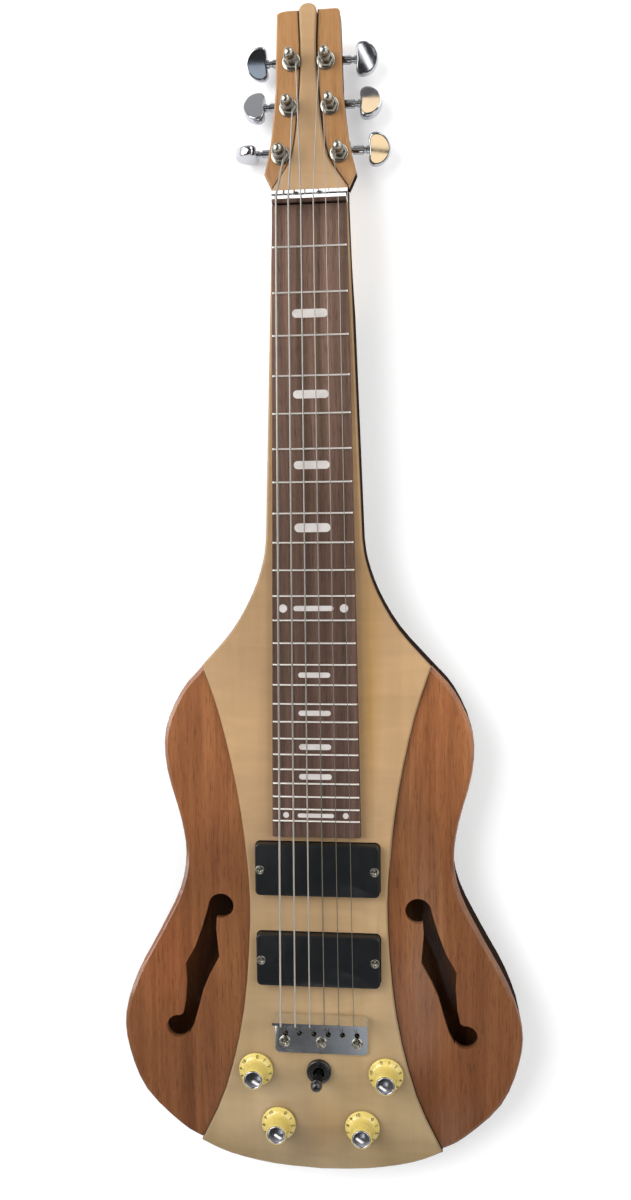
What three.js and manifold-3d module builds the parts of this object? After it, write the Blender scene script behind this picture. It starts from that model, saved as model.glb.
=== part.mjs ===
import * as THREE from 'three'
import Module from 'manifold-3d'
import { mergeVertices } from 'three/addons/utils/BufferGeometryUtils.js'

const wasm = await Module()
wasm.setup()

// Lap steel guitar lying face up on its back, in millimetres.
// X runs across, Y from the bridge edge to the headstock, Z up out of the face.

// Driving dimensions
const scaleLength = 571.5
const fretCount = 24
const stringCount = 6
const coreThickness = 38
const coreProud = 3
const boardThickness = 6
const stringHeight = 11
const boardOverhang = 11.9
const lowerHalfWidth = 146.2
const tailReach = 121
const shoulderReach = 252.7
const heelReach = 342
const heelHalfWidth = 33.8
const nutHalfWidth = 25.8
const headReach = 128.2
const headDepth = 18
const seat = 0.3
const glueLine = 0.15
const overrun = 5

// Levels and places that follow from them
const wingTop = coreThickness - coreProud
const boardTop = coreThickness + boardThickness
const stringLevel = boardTop + stringHeight
const headBack = coreThickness - headDepth
const bodySpan = tailReach + shoulderReach
const headTip = scaleLength + headReach
const fretPlace = (n) => scaleLength * 2 ** (-n / 12)
const boardEnd = fretPlace(fretCount) - boardOverhang

// Materials
const finish = (color, roughness, metalness = 0) =>
  new THREE.MeshStandardMaterial({ color, roughness, metalness })
const maple = finish(0xd9b98a, 0.35)
const mahogany = finish(0x9a5a3c, 0.35)
const rosewood = finish(0x4a3128, 0.5)
const chrome = finish(0xd8dade, 0.12, 1)
const wire = finish(0xc9c4bb, 0.3, 1)
const blackPlastic = finish(0x17171a, 0.45)
const cream = finish(0xe3c766, 0.4)
const tin = finish(0xa9abad, 0.4, 1)

// Solids: a closed three.js geometry becomes a manifold solid, and back
function solidOf(geometry) {
  geometry.deleteAttribute('normal')
  geometry.deleteAttribute('uv')
  const merged = mergeVertices(geometry)
  const place = merged.attributes.position
  const corner = merged.index.array
  const kept = []
  let volume = 0
  const [a, b, c] = [new THREE.Vector3(), new THREE.Vector3(), new THREE.Vector3()]
  for (let i = 0; i < corner.length; i += 3) {
    const [p, q, r] = [corner[i], corner[i + 1], corner[i + 2]]
    if (p === q || q === r || r === p) continue
    kept.push([p, q, r])
    a.fromBufferAttribute(place, p)
    b.fromBufferAttribute(place, q)
    c.fromBufferAttribute(place, r)
    volume += a.dot(b.cross(c))
  }
  const faces = volume < 0 ? kept.map(([p, q, r]) => [p, r, q]) : kept
  const mesh = new wasm.Mesh({
    numProp: 3,
    vertProperties: Float32Array.from(place.array),
    triVerts: Uint32Array.from(faces.flat()),
  })
  return new wasm.Manifold(mesh)
}

function geometryOf(solid) {
  const mesh = solid.getMesh()
  const geometry = new THREE.BufferGeometry()
  geometry.setAttribute('position', new THREE.BufferAttribute(Float32Array.from(mesh.vertProperties), 3))
  geometry.setIndex(new THREE.BufferAttribute(Uint32Array.from(mesh.triVerts), 1))
  geometry.computeVertexNormals()
  return geometry
}

const guitar = new THREE.Group()
function add(name, solid, material) {
  const mesh = new THREE.Mesh(geometryOf(solid), material)
  mesh.name = name
  guitar.add(mesh)
  return mesh
}

const joined = (solids) => solids.reduce((whole, piece) => whole.add(piece))
const without = (solid, cuts) => cuts.reduce((left, cut) => left.subtract(cut), solid)

// Shapes: a box, an upright cylinder, a plan cut from a board, a turned piece, and a bar along X
function block(x0, x1, y0, y1, z0, z1) {
  const box = new THREE.BoxGeometry(x1 - x0, y1 - y0, z1 - z0)
  box.translate((x0 + x1) / 2, (y0 + y1) / 2, (z0 + z1) / 2)
  return solidOf(box)
}

function drum(x, y, radius, z0, z1, sides = 16) {
  const cylinder = new THREE.CylinderGeometry(radius, radius, z1 - z0, sides)
  cylinder.rotateX(Math.PI / 2)
  cylinder.translate(x, y, (z0 + z1) / 2)
  return solidOf(cylinder)
}

function plan(shape, z0, z1, edge = 0, bevelSegments = 1, curveSegments = 3) {
  const geometry = new THREE.ExtrudeGeometry(shape, {
    depth: z1 - z0 - 2 * edge,
    bevelEnabled: edge > 0,
    bevelThickness: edge,
    bevelSize: edge,
    bevelOffset: -edge,
    bevelSegments,
    curveSegments,
  })
  geometry.translate(0, 0, z0 + edge)
  return solidOf(geometry)
}

function turned(profile, sides = 18) {
  const geometry = new THREE.LatheGeometry(profile.map(([r, z]) => new THREE.Vector2(r, z)), sides)
  geometry.rotateX(Math.PI / 2)
  return solidOf(geometry)
}

// A section drawn in (Y, Z) and drawn out along X
function along(shape, x0, x1) {
  const geometry = new THREE.ExtrudeGeometry(shape, { depth: x1 - x0, bevelEnabled: false, curveSegments: 6 })
  geometry.applyMatrix4(new THREE.Matrix4().makeBasis(
    new THREE.Vector3(0, 1, 0), new THREE.Vector3(0, 0, 1), new THREE.Vector3(1, 0, 0)))
  geometry.translate(x0, 0, 0)
  return solidOf(geometry)
}

const point = (x, y) => new THREE.Vector2(x, y)
const mirrored = (points) => points.map((p) => point(-p.x, p.y)).reverse()
const shapeOf = (points) => new THREE.Shape(points)

function roundedPlate(x0, x1, y0, y1, radius) {
  const shape = new THREE.Shape()
  shape.absarc(x1 - radius, y1 - radius, radius, 0, Math.PI / 2)
  shape.absarc(x0 + radius, y1 - radius, radius, Math.PI / 2, Math.PI)
  shape.absarc(x0 + radius, y0 + radius, radius, Math.PI, 1.5 * Math.PI)
  shape.absarc(x1 - radius, y0 + radius, radius, 1.5 * Math.PI, 2 * Math.PI)
  return shape
}

// Body outline, right half, as shares of the lower half width and of the body's span from the tail
const onBody = ([x, y]) => point(x * lowerHalfWidth, y * bodySpan - tailReach)
const tailShares = [[0, 0], [0.239, 0.0055], [0.458, 0.0226], [0.608, 0.0476]]
const wingEdgeShares = [
  [0.7205, 0.0734], [0.897, 0.142], [0.982, 0.226], [0.9955, 0.3], [0.925, 0.385], [0.808, 0.47],
  [0.698, 0.557], [0.664, 0.628], [0.687, 0.699], [0.7505, 0.794], [0.7535, 0.873], [0.669, 0.949],
  [0.556, 1],
]
const gluelineShares = [
  [0.608, 0.0476], [0.477, 0.16], [0.381, 0.319], [0.342, 0.497], [0.352, 0.62], [0.398, 0.7625],
  [0.475, 0.902], [0.556, 1],
]
const flareShares = [[0.53, 0.283], [0.217, 0.57], [0.05, 0.823], [0, 1]]
const shoulderHalfWidth = wingEdgeShares.at(-1)[0] * lowerHalfWidth
const onFlare = ([x, y]) => point(
  heelHalfWidth + x * (shoulderHalfWidth - heelHalfWidth),
  shoulderReach + y * (heelReach - shoulderReach))

const edgePoints = [...tailShares.map(onBody), ...wingEdgeShares.map(onBody), ...flareShares.map(onFlare)]
const edgeCurve = new THREE.SplineCurve(edgePoints)
const edgeSteps = 3
function edgeBetween(first, last) {
  const steps = (last - first) * edgeSteps
  const place = (i) => (first + (last - first) * i / steps) / (edgePoints.length - 1)
  return Array.from({ length: steps + 1 }, (_, i) => edgeCurve.getPoint(place(i)))
}
const tailCorner = tailShares.length - 1
const shoulderCorner = tailCorner + wingEdgeShares.length
const glueline = new THREE.SplineCurve(gluelineShares.map(onBody)).getPoints(21)

// Headstock outline, right half, as shares of the nut's half width and of the headstock's reach
const onHead = ([x, y]) => point(x * nutHalfWidth, scaleLength + y * headReach)
const stripShares = [[1, 0.064], [0.56, 0.193], [0.4, 0.288], [0.29, 0.458], [0.217, 0.634], [0.202, 0.803]]
const stripEndShare = [0.232, 0.962]
const stripEnd = onHead(stripEndShare)
const strip = new THREE.SplineCurve(stripShares.map(onHead)).getPoints(12)

// The strip ends in a dome that stands up from between the ears
const tipDome = new THREE.EllipseCurve(0, stripEnd.y, stripEnd.x, headTip - stripEnd.y,
  0, Math.PI / 2).getPoints(5)

const headPart = [onHead([1, 0]), ...strip, ...tipDome]
const neckEdge = [...edgeBetween(shoulderCorner, edgePoints.length - 1), ...headPart]
const closeShape = (half) => shapeOf([...half, ...mirrored(half.slice(0, -1)).slice(0, -1)])
const coreHalf = [...edgeBetween(0, tailCorner), ...glueline.slice(1, -1), ...neckEdge]

// The blank, cut to the outline, with rounded edges all round and room for the headstock
const backRound = 5
const topRound = 3
const coreRound = 1.2
const headRoom = [
  onHead([1, 0]), point(nutHalfWidth * 2, scaleLength + backRound * 2),
  point(nutHalfWidth * 2, headTip + backRound * 2), point(0, headTip + backRound * 2),
]
const silhouetteHalf = [...edgeBetween(0, edgePoints.length - 1), ...headRoom]
const guitarBlank = plan(closeShape(silhouetteHalf), 0, stringLevel, backRound, 2)
const topBlank = plan(closeShape(silhouetteHalf), -backRound, wingTop, topRound, 2)
const bodyZone = block(-lowerHalfWidth - overrun, lowerHalfWidth + overrun, -tailReach - overrun,
  shoulderReach + overrun, -overrun, stringLevel + overrun)

// Underside of the headstock: the blank is scooped away behind the nut
const scoopReach = 100
const scoopRun = 75
function headScoop() {
  const start = scaleLength - scoopReach
  const shape = new THREE.Shape()
  shape.moveTo(start, 0)
  shape.bezierCurveTo(start + scoopRun / 2, 0, start + scoopRun / 2, headBack, start + scoopRun, headBack)
  shape.lineTo(headTip + overrun, headBack)
  shape.lineTo(headTip + overrun, -overrun)
  shape.lineTo(start, -overrun)
  return along(shape, -lowerHalfWidth, lowerHalfWidth)
}

// Pickups and their cavities
const pickupWidth = 88.9
const pickupLength = 37.6
const pickupRise = 7
const pickupSink = 18
const pickupCorner = 3.2
const pickupEdge = 1.3
const cavityClearance = 0.6
const neckPickupGap = 5.4
const bridgePickupGap = 21.3
const neckPickupPlace = boardEnd - neckPickupGap - pickupLength / 2
const bridgePickupPlace = bridgePickupGap + pickupLength / 2
const pickupPlaces = { neck_pickup: neckPickupPlace, bridge_pickup: bridgePickupPlace }
function pickupPlan(place, extra) {
  const half = point(pickupWidth / 2 + extra, pickupLength / 2 + extra)
  return roundedPlate(-half.x, half.x, place - half.y, place + half.y, pickupCorner + extra)
}
const pickupCavities = Object.values(pickupPlaces).map((place) =>
  plan(pickupPlan(place, cavityClearance), coreThickness - pickupSink - seat, coreThickness + overrun))

// Bridge and strings
const plateThickness = 2
const bridgeFace = -1
const bridgeRear = -31
const bridgeHalfWidth = 33.6
const bridgeShift = 1.3
const bridgeCorner = 3.3
const foldRadius = 1.6
const anchorPlace = -16.4
const bridgeSpread = 52
const nutSpread = 41.3
const anchorDepth = 12
const anchorRadius = 2.2
const thickestString = 1.5
const gaugeShares = [1, 0.833, 0.68, 0.533, 0.367, 0.3]
const gauges = gaugeShares.map((share) => share * thickestString)

// Controls: knobs and switch, as shares of the core's half width at the tail and of the way from the
// bridge to the tail
const tailHalfWidth = tailShares.at(-1)[0] * lowerHalfWidth
const onTail = ([x, y]) => point(x * tailHalfWidth, bridgeRear - y * (tailReach + bridgeRear))
const knobShares = [[-0.527, 0.158], [0.541, 0.158], [-0.345, 0.61], [0.345, 0.61]]
const switchShare = [-0.008, 0.158]
const knobPlaces = knobShares.map(onTail)
const switchPlace = onTail(switchShare)

const potRadius = 8.5
const potDepth = 10
const bushingRadius = 3.5
const bushingRise = 3.2
const shaftRadius = 2.6
const runningGap = 0.3
const potNutRadius = 5.2
const potNutHeight = 2
const switchBushingRadius = 5.8
const switchHalfWidth = 8
const switchHalfLength = 8.5
const switchDepth = 17

// Their cavity in the back, with a web left under the face, and its cover
const webThickness = 8
const webUnderside = coreThickness - webThickness
const controlRoom = 1
const controlHalfWidth = Math.max(...knobPlaces.map((p) => Math.abs(p.x))) + potRadius + controlRoom
const controlNear = switchPlace.y + switchHalfLength + controlRoom
const controlFar = Math.min(...knobPlaces.map((p) => p.y)) - potRadius - controlRoom
const controlCorner = 6
const coverMargin = 3
const coverThickness = 2
const coverFit = 0.4
const controlPlan = (extra) => roundedPlate(-controlHalfWidth - extra, controlHalfWidth + extra,
  controlFar - extra, controlNear + extra, controlCorner + extra)
const controlCavity = joined([
  plan(controlPlan(0), -overrun, webUnderside),
  plan(controlPlan(coverMargin), -overrun, coverThickness + seat),
])

const controlBores = [
  ...knobPlaces.map((p) => [p, bushingRadius]),
  [switchPlace, switchBushingRadius],
]
const controlHoles = controlBores.map(([p, radius]) =>
  drum(p.x, p.y, radius + seat, webUnderside - overrun, coreThickness + overrun))

// Output jack in the tail edge
const jackRadius = 5.5
const plugRadius = 3.3
const jackPlateRadius = 12.5
const jackPlateThickness = 1.5
const jackLevel = 18
const jackFace = -tailReach + seat
const jackDepth = 23
function tailDrum(radius, y0, y1, sides = 16) {
  const cylinder = new THREE.CylinderGeometry(radius, radius, y1 - y0, sides)
  cylinder.translate(0, (y0 + y1) / 2, jackLevel)
  return solidOf(cylinder)
}
const jackPlateBack = jackFace + jackPlateThickness
const jackHoles = [
  tailDrum(jackPlateRadius + seat, -tailReach - overrun, jackPlateBack + seat),
  tailDrum(jackRadius + seat, -tailReach - overrun, controlFar + overrun),
]

// Anchors of the strings, in the core under the bridge: both sit a little to the right of the strings
const shareOfString = (i) => i / (stringCount - 1) - 1 / 2
const bridgeX = (i) => shareOfString(i) * bridgeSpread
const anchorX = (i) => bridgeX(i) + bridgeShift
const nutX = (i) => shareOfString(i) * nutSpread
const anchors = gauges.map((_, i) =>
  drum(anchorX(i), anchorPlace, anchorRadius, coreThickness - anchorDepth, stringLevel, 8))

// Tuners, three a side, nearest the nut first, as shares of the headstock
const tunerShares = [[0.775, 0.24], [0.543, 0.483], [0.45, 0.713]]
const postRadius = 3
const postRise = 15
const postTop = coreThickness + postRise
const waistRadius = 2.6
const sleeveRadius = 4.4
const washerRadius = 6.5
const washerThickness = 1
const tunerNutRadius = 5.4
const tunerNutHeight = 2.4
const tuners = []
for (const side of [-1, 1]) {
  tunerShares.map(onHead).forEach((p) => tuners.push({ side, x: side * p.x, y: p.y }))
}
const tunerHoles = tuners.map((t) =>
  drum(t.x, t.y, sleeveRadius + seat, headBack - overrun, coreThickness + overrun, 12))
const washerSeats = tuners.map((t) =>
  drum(t.x, t.y, washerRadius + seat, wingTop, coreThickness + overrun))

// Neck core
const coreBlank = plan(closeShape(coreHalf), -coreRound * 2, coreThickness, coreRound)
const core = without(coreBlank.intersect(guitarBlank), [
  headScoop(), ...pickupCavities, controlCavity, ...controlHoles, ...jackHoles, ...anchors, ...tunerHoles,
  ...washerSeats,
])
add('neck_core', core, maple)

// Wings: a blank of the whole body less the core, split into a hollowed body and a top with its f-hole
const topThickness = 6
const floorThickness = 5
const grownHalf = (half) => half.map((p) => point(p.x + 2 * glueLine, p.y))
const coreCut = plan(closeShape([point(0, -tailReach - overrun), ...grownHalf(coreHalf).slice(0, -1),
  point(0, headTip + overrun)]), -overrun, stringLevel)
const wingBlank = without(guitarBlank.intersect(topBlank).intersect(bodyZone), [
  coreCut, ...pickupCavities, controlCavity,
])
const topSeam = wingTop - topThickness
const chamberShares = [
  [0.427, 0.565], [0.579, 0.574], [0.66, 0.513], [0.786, 0.417], [0.884, 0.327], [0.908, 0.271],
  [0.824, 0.205], [0.675, 0.173], [0.542, 0.223], [0.464, 0.324], [0.411, 0.4535],
]
const chamberCurve = new THREE.CatmullRomCurve3(
  chamberShares.map(onBody).map((p) => new THREE.Vector3(p.x, p.y, 0)), true)
const chamberHalf = chamberCurve.getPoints(30).slice(0, -1).map((p) => point(p.x, p.y))

const upperLobeShare = [0.489, 0.526]
const lowerLobeShare = [0.72, 0.278]
const upperLobeRadius = 9.2
const lowerLobeRadius = 8.6
const stemShares = [
  [0.51, 0.512], [0.516, 0.481], [0.51, 0.452], [0.503, 0.423], [0.554, 0.386], [0.587, 0.356],
  [0.614, 0.317], [0.639, 0.284], [0.665, 0.264], [0.7345, 0.295], [0.694, 0.305], [0.68, 0.33],
  [0.672, 0.3715], [0.676, 0.407], [0.6255, 0.4415], [0.5875, 0.482], [0.564, 0.512], [0.55, 0.533],
]
function fHole(side) {
  const [upper, lower] = [upperLobeShare, lowerLobeShare].map(onBody)
  const stem = stemShares.map(onBody)
  const outline = side > 0 ? stem : mirrored(stem)
  return joined([
    drum(side * upper.x, upper.y, upperLobeRadius, topSeam - overrun, wingTop + overrun, 24),
    drum(side * lower.x, lower.y, lowerLobeRadius, topSeam - overrun, wingTop + overrun, 24),
    plan(shapeOf(outline), topSeam - overrun, wingTop + overrun),
  ])
}

function wing(name, side) {
  const reach = side * (lowerHalfWidth + overrun)
  const half = block(Math.min(0, reach), Math.max(0, reach), -tailReach - overrun, shoulderReach + overrun,
    -overrun, topSeam)
  const upperHalf = block(Math.min(0, reach), Math.max(0, reach), -tailReach - overrun, shoulderReach + overrun,
    topSeam, wingTop + overrun)
  const outline = side > 0 ? chamberHalf : mirrored(chamberHalf)
  const chamber = plan(shapeOf(outline), floorThickness, topSeam + overrun)
  add(`${name}_body`, wingBlank.intersect(half).subtract(chamber), mahogany)
  add(`${name}_top`, wingBlank.intersect(upperHalf).subtract(fHole(side)), mahogany)
}
wing('wing_left', -1)
wing('wing_right', 1)

// Headstock ears, glued to the core's narrow strip
const earRootShare = [1.023, 0.0644]
const earFlankShares = [[1.22, 0.148], [1.05, 0.2915], [0.955, 0.434], [0.885, 0.57]]
const earTopShare = 0.83
const earEndShare = 0.976
const earHalfWidth = earTopShare * nutHalfWidth
const earEnd = scaleLength + earEndShare * headReach
const earCornerHeight = 2.5
const leftCornerWidth = 8
const rightCornerWidth = 2.5
const earRound = 1
function ear(name, side, cornerWidth) {
  const inner = grownHalf(strip)
  const innerEnd = point(stripEnd.x + 2 * glueLine, earEnd)
  const flank = new THREE.SplineCurve(earFlankShares.map(onHead)).getPoints(9)
  const corner = new THREE.EllipseCurve(earHalfWidth - cornerWidth, earEnd - earCornerHeight,
    cornerWidth, earCornerHeight, 0, Math.PI / 2).getPoints(4)
  const half = [onHead(earRootShare), ...flank, ...corner, innerEnd, ...inner.slice(1).reverse()]
  const outline = side > 0 ? half : mirrored(half)
  const blank = plan(shapeOf(outline), headBack, wingTop, earRound)
  add(name, without(blank, [coreCut, ...tunerHoles]), mahogany)
}
ear('headstock_ear_left', -1, leftCornerWidth)
ear('headstock_ear_right', 1, rightCornerWidth)

// Fingerboard with its frets, from the nut's face to past the last fret
const nutSetback = 3.8
const nutFace = scaleLength - nutSetback
const boardGap = 0.5
const boardStart = nutFace - boardGap
const boardEndHalfWidth = 31.5
const boardRound = 0.8
const fretWidth = 2.4
const fretRise = 1.1
const fretSink = 0.6
const crownShare = 0.4
function boardHalfWidth(y) {
  return THREE.MathUtils.mapLinear(y, boardEnd, scaleLength, boardEndHalfWidth, nutHalfWidth - coreRound / 2)
}
function fret(n) {
  const y = fretPlace(n)
  const half = fretWidth / 2
  const section = shapeOf([
    point(y - half, boardTop - fretSink), point(y + half, boardTop - fretSink), point(y + half, boardTop),
    point(y + half * crownShare, boardTop + fretRise), point(y - half * crownShare, boardTop + fretRise),
    point(y - half, boardTop),
  ])
  const reach = boardHalfWidth(y) - boardRound / 2
  return along(section, -reach, reach)
}
const boardPlan = [
  point(boardHalfWidth(boardEnd), boardEnd), point(boardHalfWidth(boardStart), boardStart),
  point(-boardHalfWidth(boardStart), boardStart), point(-boardHalfWidth(boardEnd), boardEnd),
]
const board = plan(shapeOf(boardPlan), coreThickness - boardRound, boardTop, boardRound, 1)
const boardLevel = block(-lowerHalfWidth, lowerHalfWidth, 0, headTip, coreThickness, stringLevel)
const frets = Array.from({ length: fretCount }, (_, i) => fret(i + 1))
add('fingerboard', joined([board.intersect(boardLevel), ...frets]), rosewood)

// A folded angle plate: flange on the core from the face back to the rear, upstand at the face
function foldedPlate(face, rear, halfWidth, top, thickness = plateThickness) {
  const away = Math.sign(rear - face)
  const foot = coreThickness
  const section = new THREE.Shape()
  section.moveTo(face, foot + foldRadius + thickness)
  section.lineTo(face, top)
  section.lineTo(face + away * thickness, top)
  section.lineTo(face + away * thickness, foot + foldRadius + thickness)
  section.quadraticCurveTo(face + away * thickness, foot + thickness,
    face + away * (thickness + foldRadius), foot + thickness)
  section.lineTo(rear, foot + thickness)
  section.lineTo(rear, foot)
  section.lineTo(face + away * (thickness + foldRadius), foot)
  section.quadraticCurveTo(face, foot, face, foot + foldRadius + thickness)
  return along(section, -halfWidth, halfWidth)
}

// Grooves in an upstand's top edge, one under each string
const grooveDepth = 0.8
function grooves(face, rear, xOf) {
  return gauges.map((gauge, i) => {
    const radius = gauge / 2 + seat
    const cylinder = new THREE.CylinderGeometry(radius, radius, Math.abs(rear - face) + overrun, 8)
    cylinder.translate(xOf(i), (face + rear) / 2, stringLevel + gauge / 2)
    return solidOf(cylinder)
  })
}

// Bridge
const bridgeTop = stringLevel + grooveDepth
const bridgePlan = plan(roundedPlate(-bridgeHalfWidth, bridgeHalfWidth, bridgeRear, bridgeFace + bridgeCorner,
  bridgeCorner), coreThickness, bridgeTop)
const stringHoleRadius = 2
const bridgeHoles = gauges.map((_, i) =>
  drum(anchorX(i), anchorPlace, stringHoleRadius, coreThickness - overrun, coreThickness + overrun, 12))
const bridgeBlank = foldedPlate(bridgeFace, bridgeRear, bridgeHalfWidth, bridgeTop).intersect(bridgePlan)
  .translate([bridgeShift, 0, 0])
add('bridge', without(bridgeBlank, [
  ...bridgeHoles, ...grooves(bridgeFace, bridgeFace - plateThickness, bridgeX),
]), chrome)

// Nut
const nutFlange = 10.2
const nutRear = nutFace + nutFlange
const nutTop = stringLevel + grooveDepth
const nutBlank = foldedPlate(nutFace, nutRear, nutHalfWidth, nutTop)
add('nut', without(nutBlank, grooves(nutFace, nutFace + plateThickness, nutX)), chrome)

// Pickups
for (const [name, place] of Object.entries(pickupPlaces)) {
  const shape = pickupPlan(place, 0)
  add(name, plan(shape, coreThickness - pickupSink, coreThickness + pickupRise, pickupEdge, 2, 4), blackPlastic)
}

// Potentiometers, and knobs with their shafts and bright caps
const knobLift = 0.8
const knobFoot = coreThickness + knobLift
const skirtRadius = 12.6
const skirtEdge = 1.8
const knobHeight = 15.4
const knobNeckRadius = 8
const knobCrownRadius = 7.4
const capRadius = 6.5
const capThickness = 1.2
const capCrown = 0.5
const knobRecessRadius = 6.4
const knobRecess = 4
const shaftDip = 6
const shaftRoom = 1
const shaftEnd = webUnderside - shaftDip

function potentiometer(place) {
  const bushingTop = coreThickness + bushingRise
  const bore = shaftEnd - shaftRoom
  return without(joined([
    drum(place.x, place.y, potRadius, webUnderside - seat - potDepth, webUnderside - seat, 14),
    drum(place.x, place.y, bushingRadius, webUnderside - potDepth / 2, bushingTop, 10),
    drum(place.x, place.y, potNutRadius, coreThickness + seat, coreThickness + seat + potNutHeight, 6),
  ]), [drum(place.x, place.y, shaftRadius + runningGap, bore, bushingTop + overrun, 10)])
}

function knob(place) {
  const top = knobFoot + knobHeight
  const shaft = [[0, shaftEnd], [shaftRadius, shaftEnd]]
  const recess = [[shaftRadius, knobFoot + knobRecess], [knobRecessRadius, knobFoot + knobRecess],
    [knobRecessRadius, knobFoot]]
  const skirt = [[skirtRadius - skirtEdge / 2, knobFoot], [skirtRadius, knobFoot + skirtEdge / 2],
    [skirtRadius, knobFoot + skirtEdge], [skirtRadius - skirtEdge / 2, knobFoot + skirtEdge * 1.4]]
  const flare = new THREE.QuadraticBezierCurve(
    point(skirtRadius - skirtEdge / 2, knobFoot + skirtEdge * 1.4),
    point(knobNeckRadius, knobFoot + skirtEdge * 2),
    point(knobNeckRadius, knobFoot + knobHeight / 2)).getPoints(4).slice(1).map((p) => [p.x, p.y])
  const crown = [[knobCrownRadius, top], [capRadius + seat, top], [capRadius + seat, top - capThickness],
    [0, top - capThickness]]
  const solid = turned([...shaft, ...recess, ...skirt, ...flare, ...crown])
  return solid.translate([place.x, place.y, 0])
}

function knobCap(place) {
  const foot = knobFoot + knobHeight - capThickness
  return turned([[0, foot], [capRadius, foot], [capRadius, foot + capThickness],
    [capRadius - capCrown, foot + capThickness + capCrown], [0, foot + capThickness + capCrown]])
    .translate([place.x, place.y, 0])
}

knobPlaces.forEach((place, i) => {
  add(`pot_${i + 1}`, potentiometer(place), tin)
  add(`knob_${i + 1}`, knob(place), cream)
  add(`knob_cap_${i + 1}`, knobCap(place), chrome)
})

// Toggle switch: body below the web, threaded neck, black ring nut, lever with its tip
const switchNeckRise = 3.4
const switchNeckTop = coreThickness + switchNeckRise
const switchNutRadius = 9
const switchNutHeight = 3.2
const leverRadius = 1.6
const leverLift = 3
const leverRise = 18
const leverFoot = webUnderside + leverLift
const leverTop = coreThickness + leverRise
const leverBallRadius = 3
const leverBoreRadius = 4.4
const tipRadius = 4.2
const tipLift = 6
const tipRise = 24
const tipFoot = coreThickness + tipLift
const tipTop = coreThickness + tipRise
const switchBody = without(joined([
  block(switchPlace.x - switchHalfWidth, switchPlace.x + switchHalfWidth, switchPlace.y - switchHalfLength,
    switchPlace.y + switchHalfLength, webUnderside - seat - switchDepth, webUnderside - seat),
  drum(switchPlace.x, switchPlace.y, switchBushingRadius, webUnderside - switchDepth / 2, switchNeckTop),
]), [drum(switchPlace.x, switchPlace.y, leverBoreRadius, leverFoot - seat, switchNeckTop + overrun)])
add('switch_body', switchBody, blackPlastic)
add('switch_nut', turned([
  [switchBushingRadius + seat, coreThickness], [switchNutRadius, coreThickness],
  [switchNutRadius, coreThickness + switchNutHeight * 0.6],
  [switchNutRadius - switchNutHeight / 2, coreThickness + switchNutHeight],
  [switchBushingRadius + seat, coreThickness + switchNutHeight],
  [switchBushingRadius + seat, coreThickness],
]).translate([switchPlace.x, switchPlace.y, 0]), blackPlastic)
const domeSteps = 5
const leverBall = Array.from({ length: domeSteps }, (_, i) => {
  const angle = (i / domeSteps - 1 / 2) * Math.PI * 0.9
  return [leverBallRadius * Math.cos(angle), leverFoot + leverBallRadius + leverBallRadius * Math.sin(angle)]
})
add('switch_lever', turned([
  [0, leverFoot], ...leverBall, [leverRadius, leverFoot + leverBallRadius * 2], [leverRadius, leverTop],
  [0, leverTop],
], 12).translate([switchPlace.x, switchPlace.y, 0]), blackPlastic)
const tipProfile = Array.from({ length: domeSteps + 1 }, (_, i) => {
  const angle = i / domeSteps * Math.PI / 2
  return [tipRadius * Math.cos(angle), tipTop - tipRadius + tipRadius * Math.sin(angle)]
})
add('switch_tip', turned([
  [0, leverTop + seat], [leverRadius + seat, leverTop + seat], [leverRadius + seat, tipFoot],
  [tipRadius * 0.7, tipFoot], ...tipProfile.slice(0, -1), [0, tipTop],
], 14).translate([switchPlace.x, switchPlace.y, 0]), blackPlastic)

// Control cover on the back
add('control_cover', plan(controlPlan(coverMargin - coverFit), 0, coverThickness), blackPlastic)

// Output jack: plate, barrel and the socket for the plug
add('output_jack', joined([
  tailDrum(jackPlateRadius, jackFace, jackPlateBack, 24),
  tailDrum(jackRadius, jackFace, jackFace + jackDepth),
]).subtract(tailDrum(plugRadius, jackFace - overrun, jackFace + jackDepth - jackPlateThickness)), chrome)

// Tuners: housing under the headstock, bushing through it, post with its gear, worm with its button
const housingHalfWidth = 7
const housingDrop = 13.2
const housingNear = 7
const housingFar = 14.9
const housingCorner = 3
const housingEdge = 1
const housingWall = 2
const wormDrop = 7.2
const wormLevel = headBack - wormDrop
const gearRadius = 5.5
const gearHalfHeight = 2
const wormRadius = 3.1
const wormOffset = gearRadius + wormRadius + runningGap
const stemRadius = 3.1
const buttonCentre = 26.8
const buttonHalfLength = 7.9
const buttonHalfWidth = 11.3
const buttonHalfThickness = 3.6

function acrossDrum(x0, x1, y, z, radius, sides = 10) {
  const cylinder = new THREE.CylinderGeometry(radius, radius, Math.abs(x1 - x0), sides)
  cylinder.rotateZ(Math.PI / 2)
  cylinder.translate((x0 + x1) / 2, y, z)
  return solidOf(cylinder)
}

function housing({ side, x, y }) {
  const shell = plan(roundedPlate(x - housingHalfWidth, x + housingHalfWidth, y - housingNear, y + housingFar,
    housingCorner), headBack - housingDrop, headBack - seat, housingEdge, 1, 2)
  const pocketFoot = wormLevel - gearHalfHeight - runningGap
  return without(shell, [
    drum(x, y, gearRadius + runningGap, pocketFoot, headBack + overrun, 12),
    acrossDrum(x - side * (housingHalfWidth - housingWall), x + side * (housingHalfWidth + overrun),
      y + wormOffset, wormLevel, wormRadius + runningGap),
  ])
}

function bushing({ x, y }) {
  const foot = wingTop + seat
  return joined([
    drum(x, y, sleeveRadius, headBack, foot, 12),
    drum(x, y, washerRadius - seat, foot - seat, foot + washerThickness, 20),
    drum(x, y, tunerNutRadius, foot, foot + washerThickness + tunerNutHeight, 6),
  ]).subtract(drum(x, y, postRadius + runningGap, headBack - overrun, postTop, 12))
}

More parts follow.
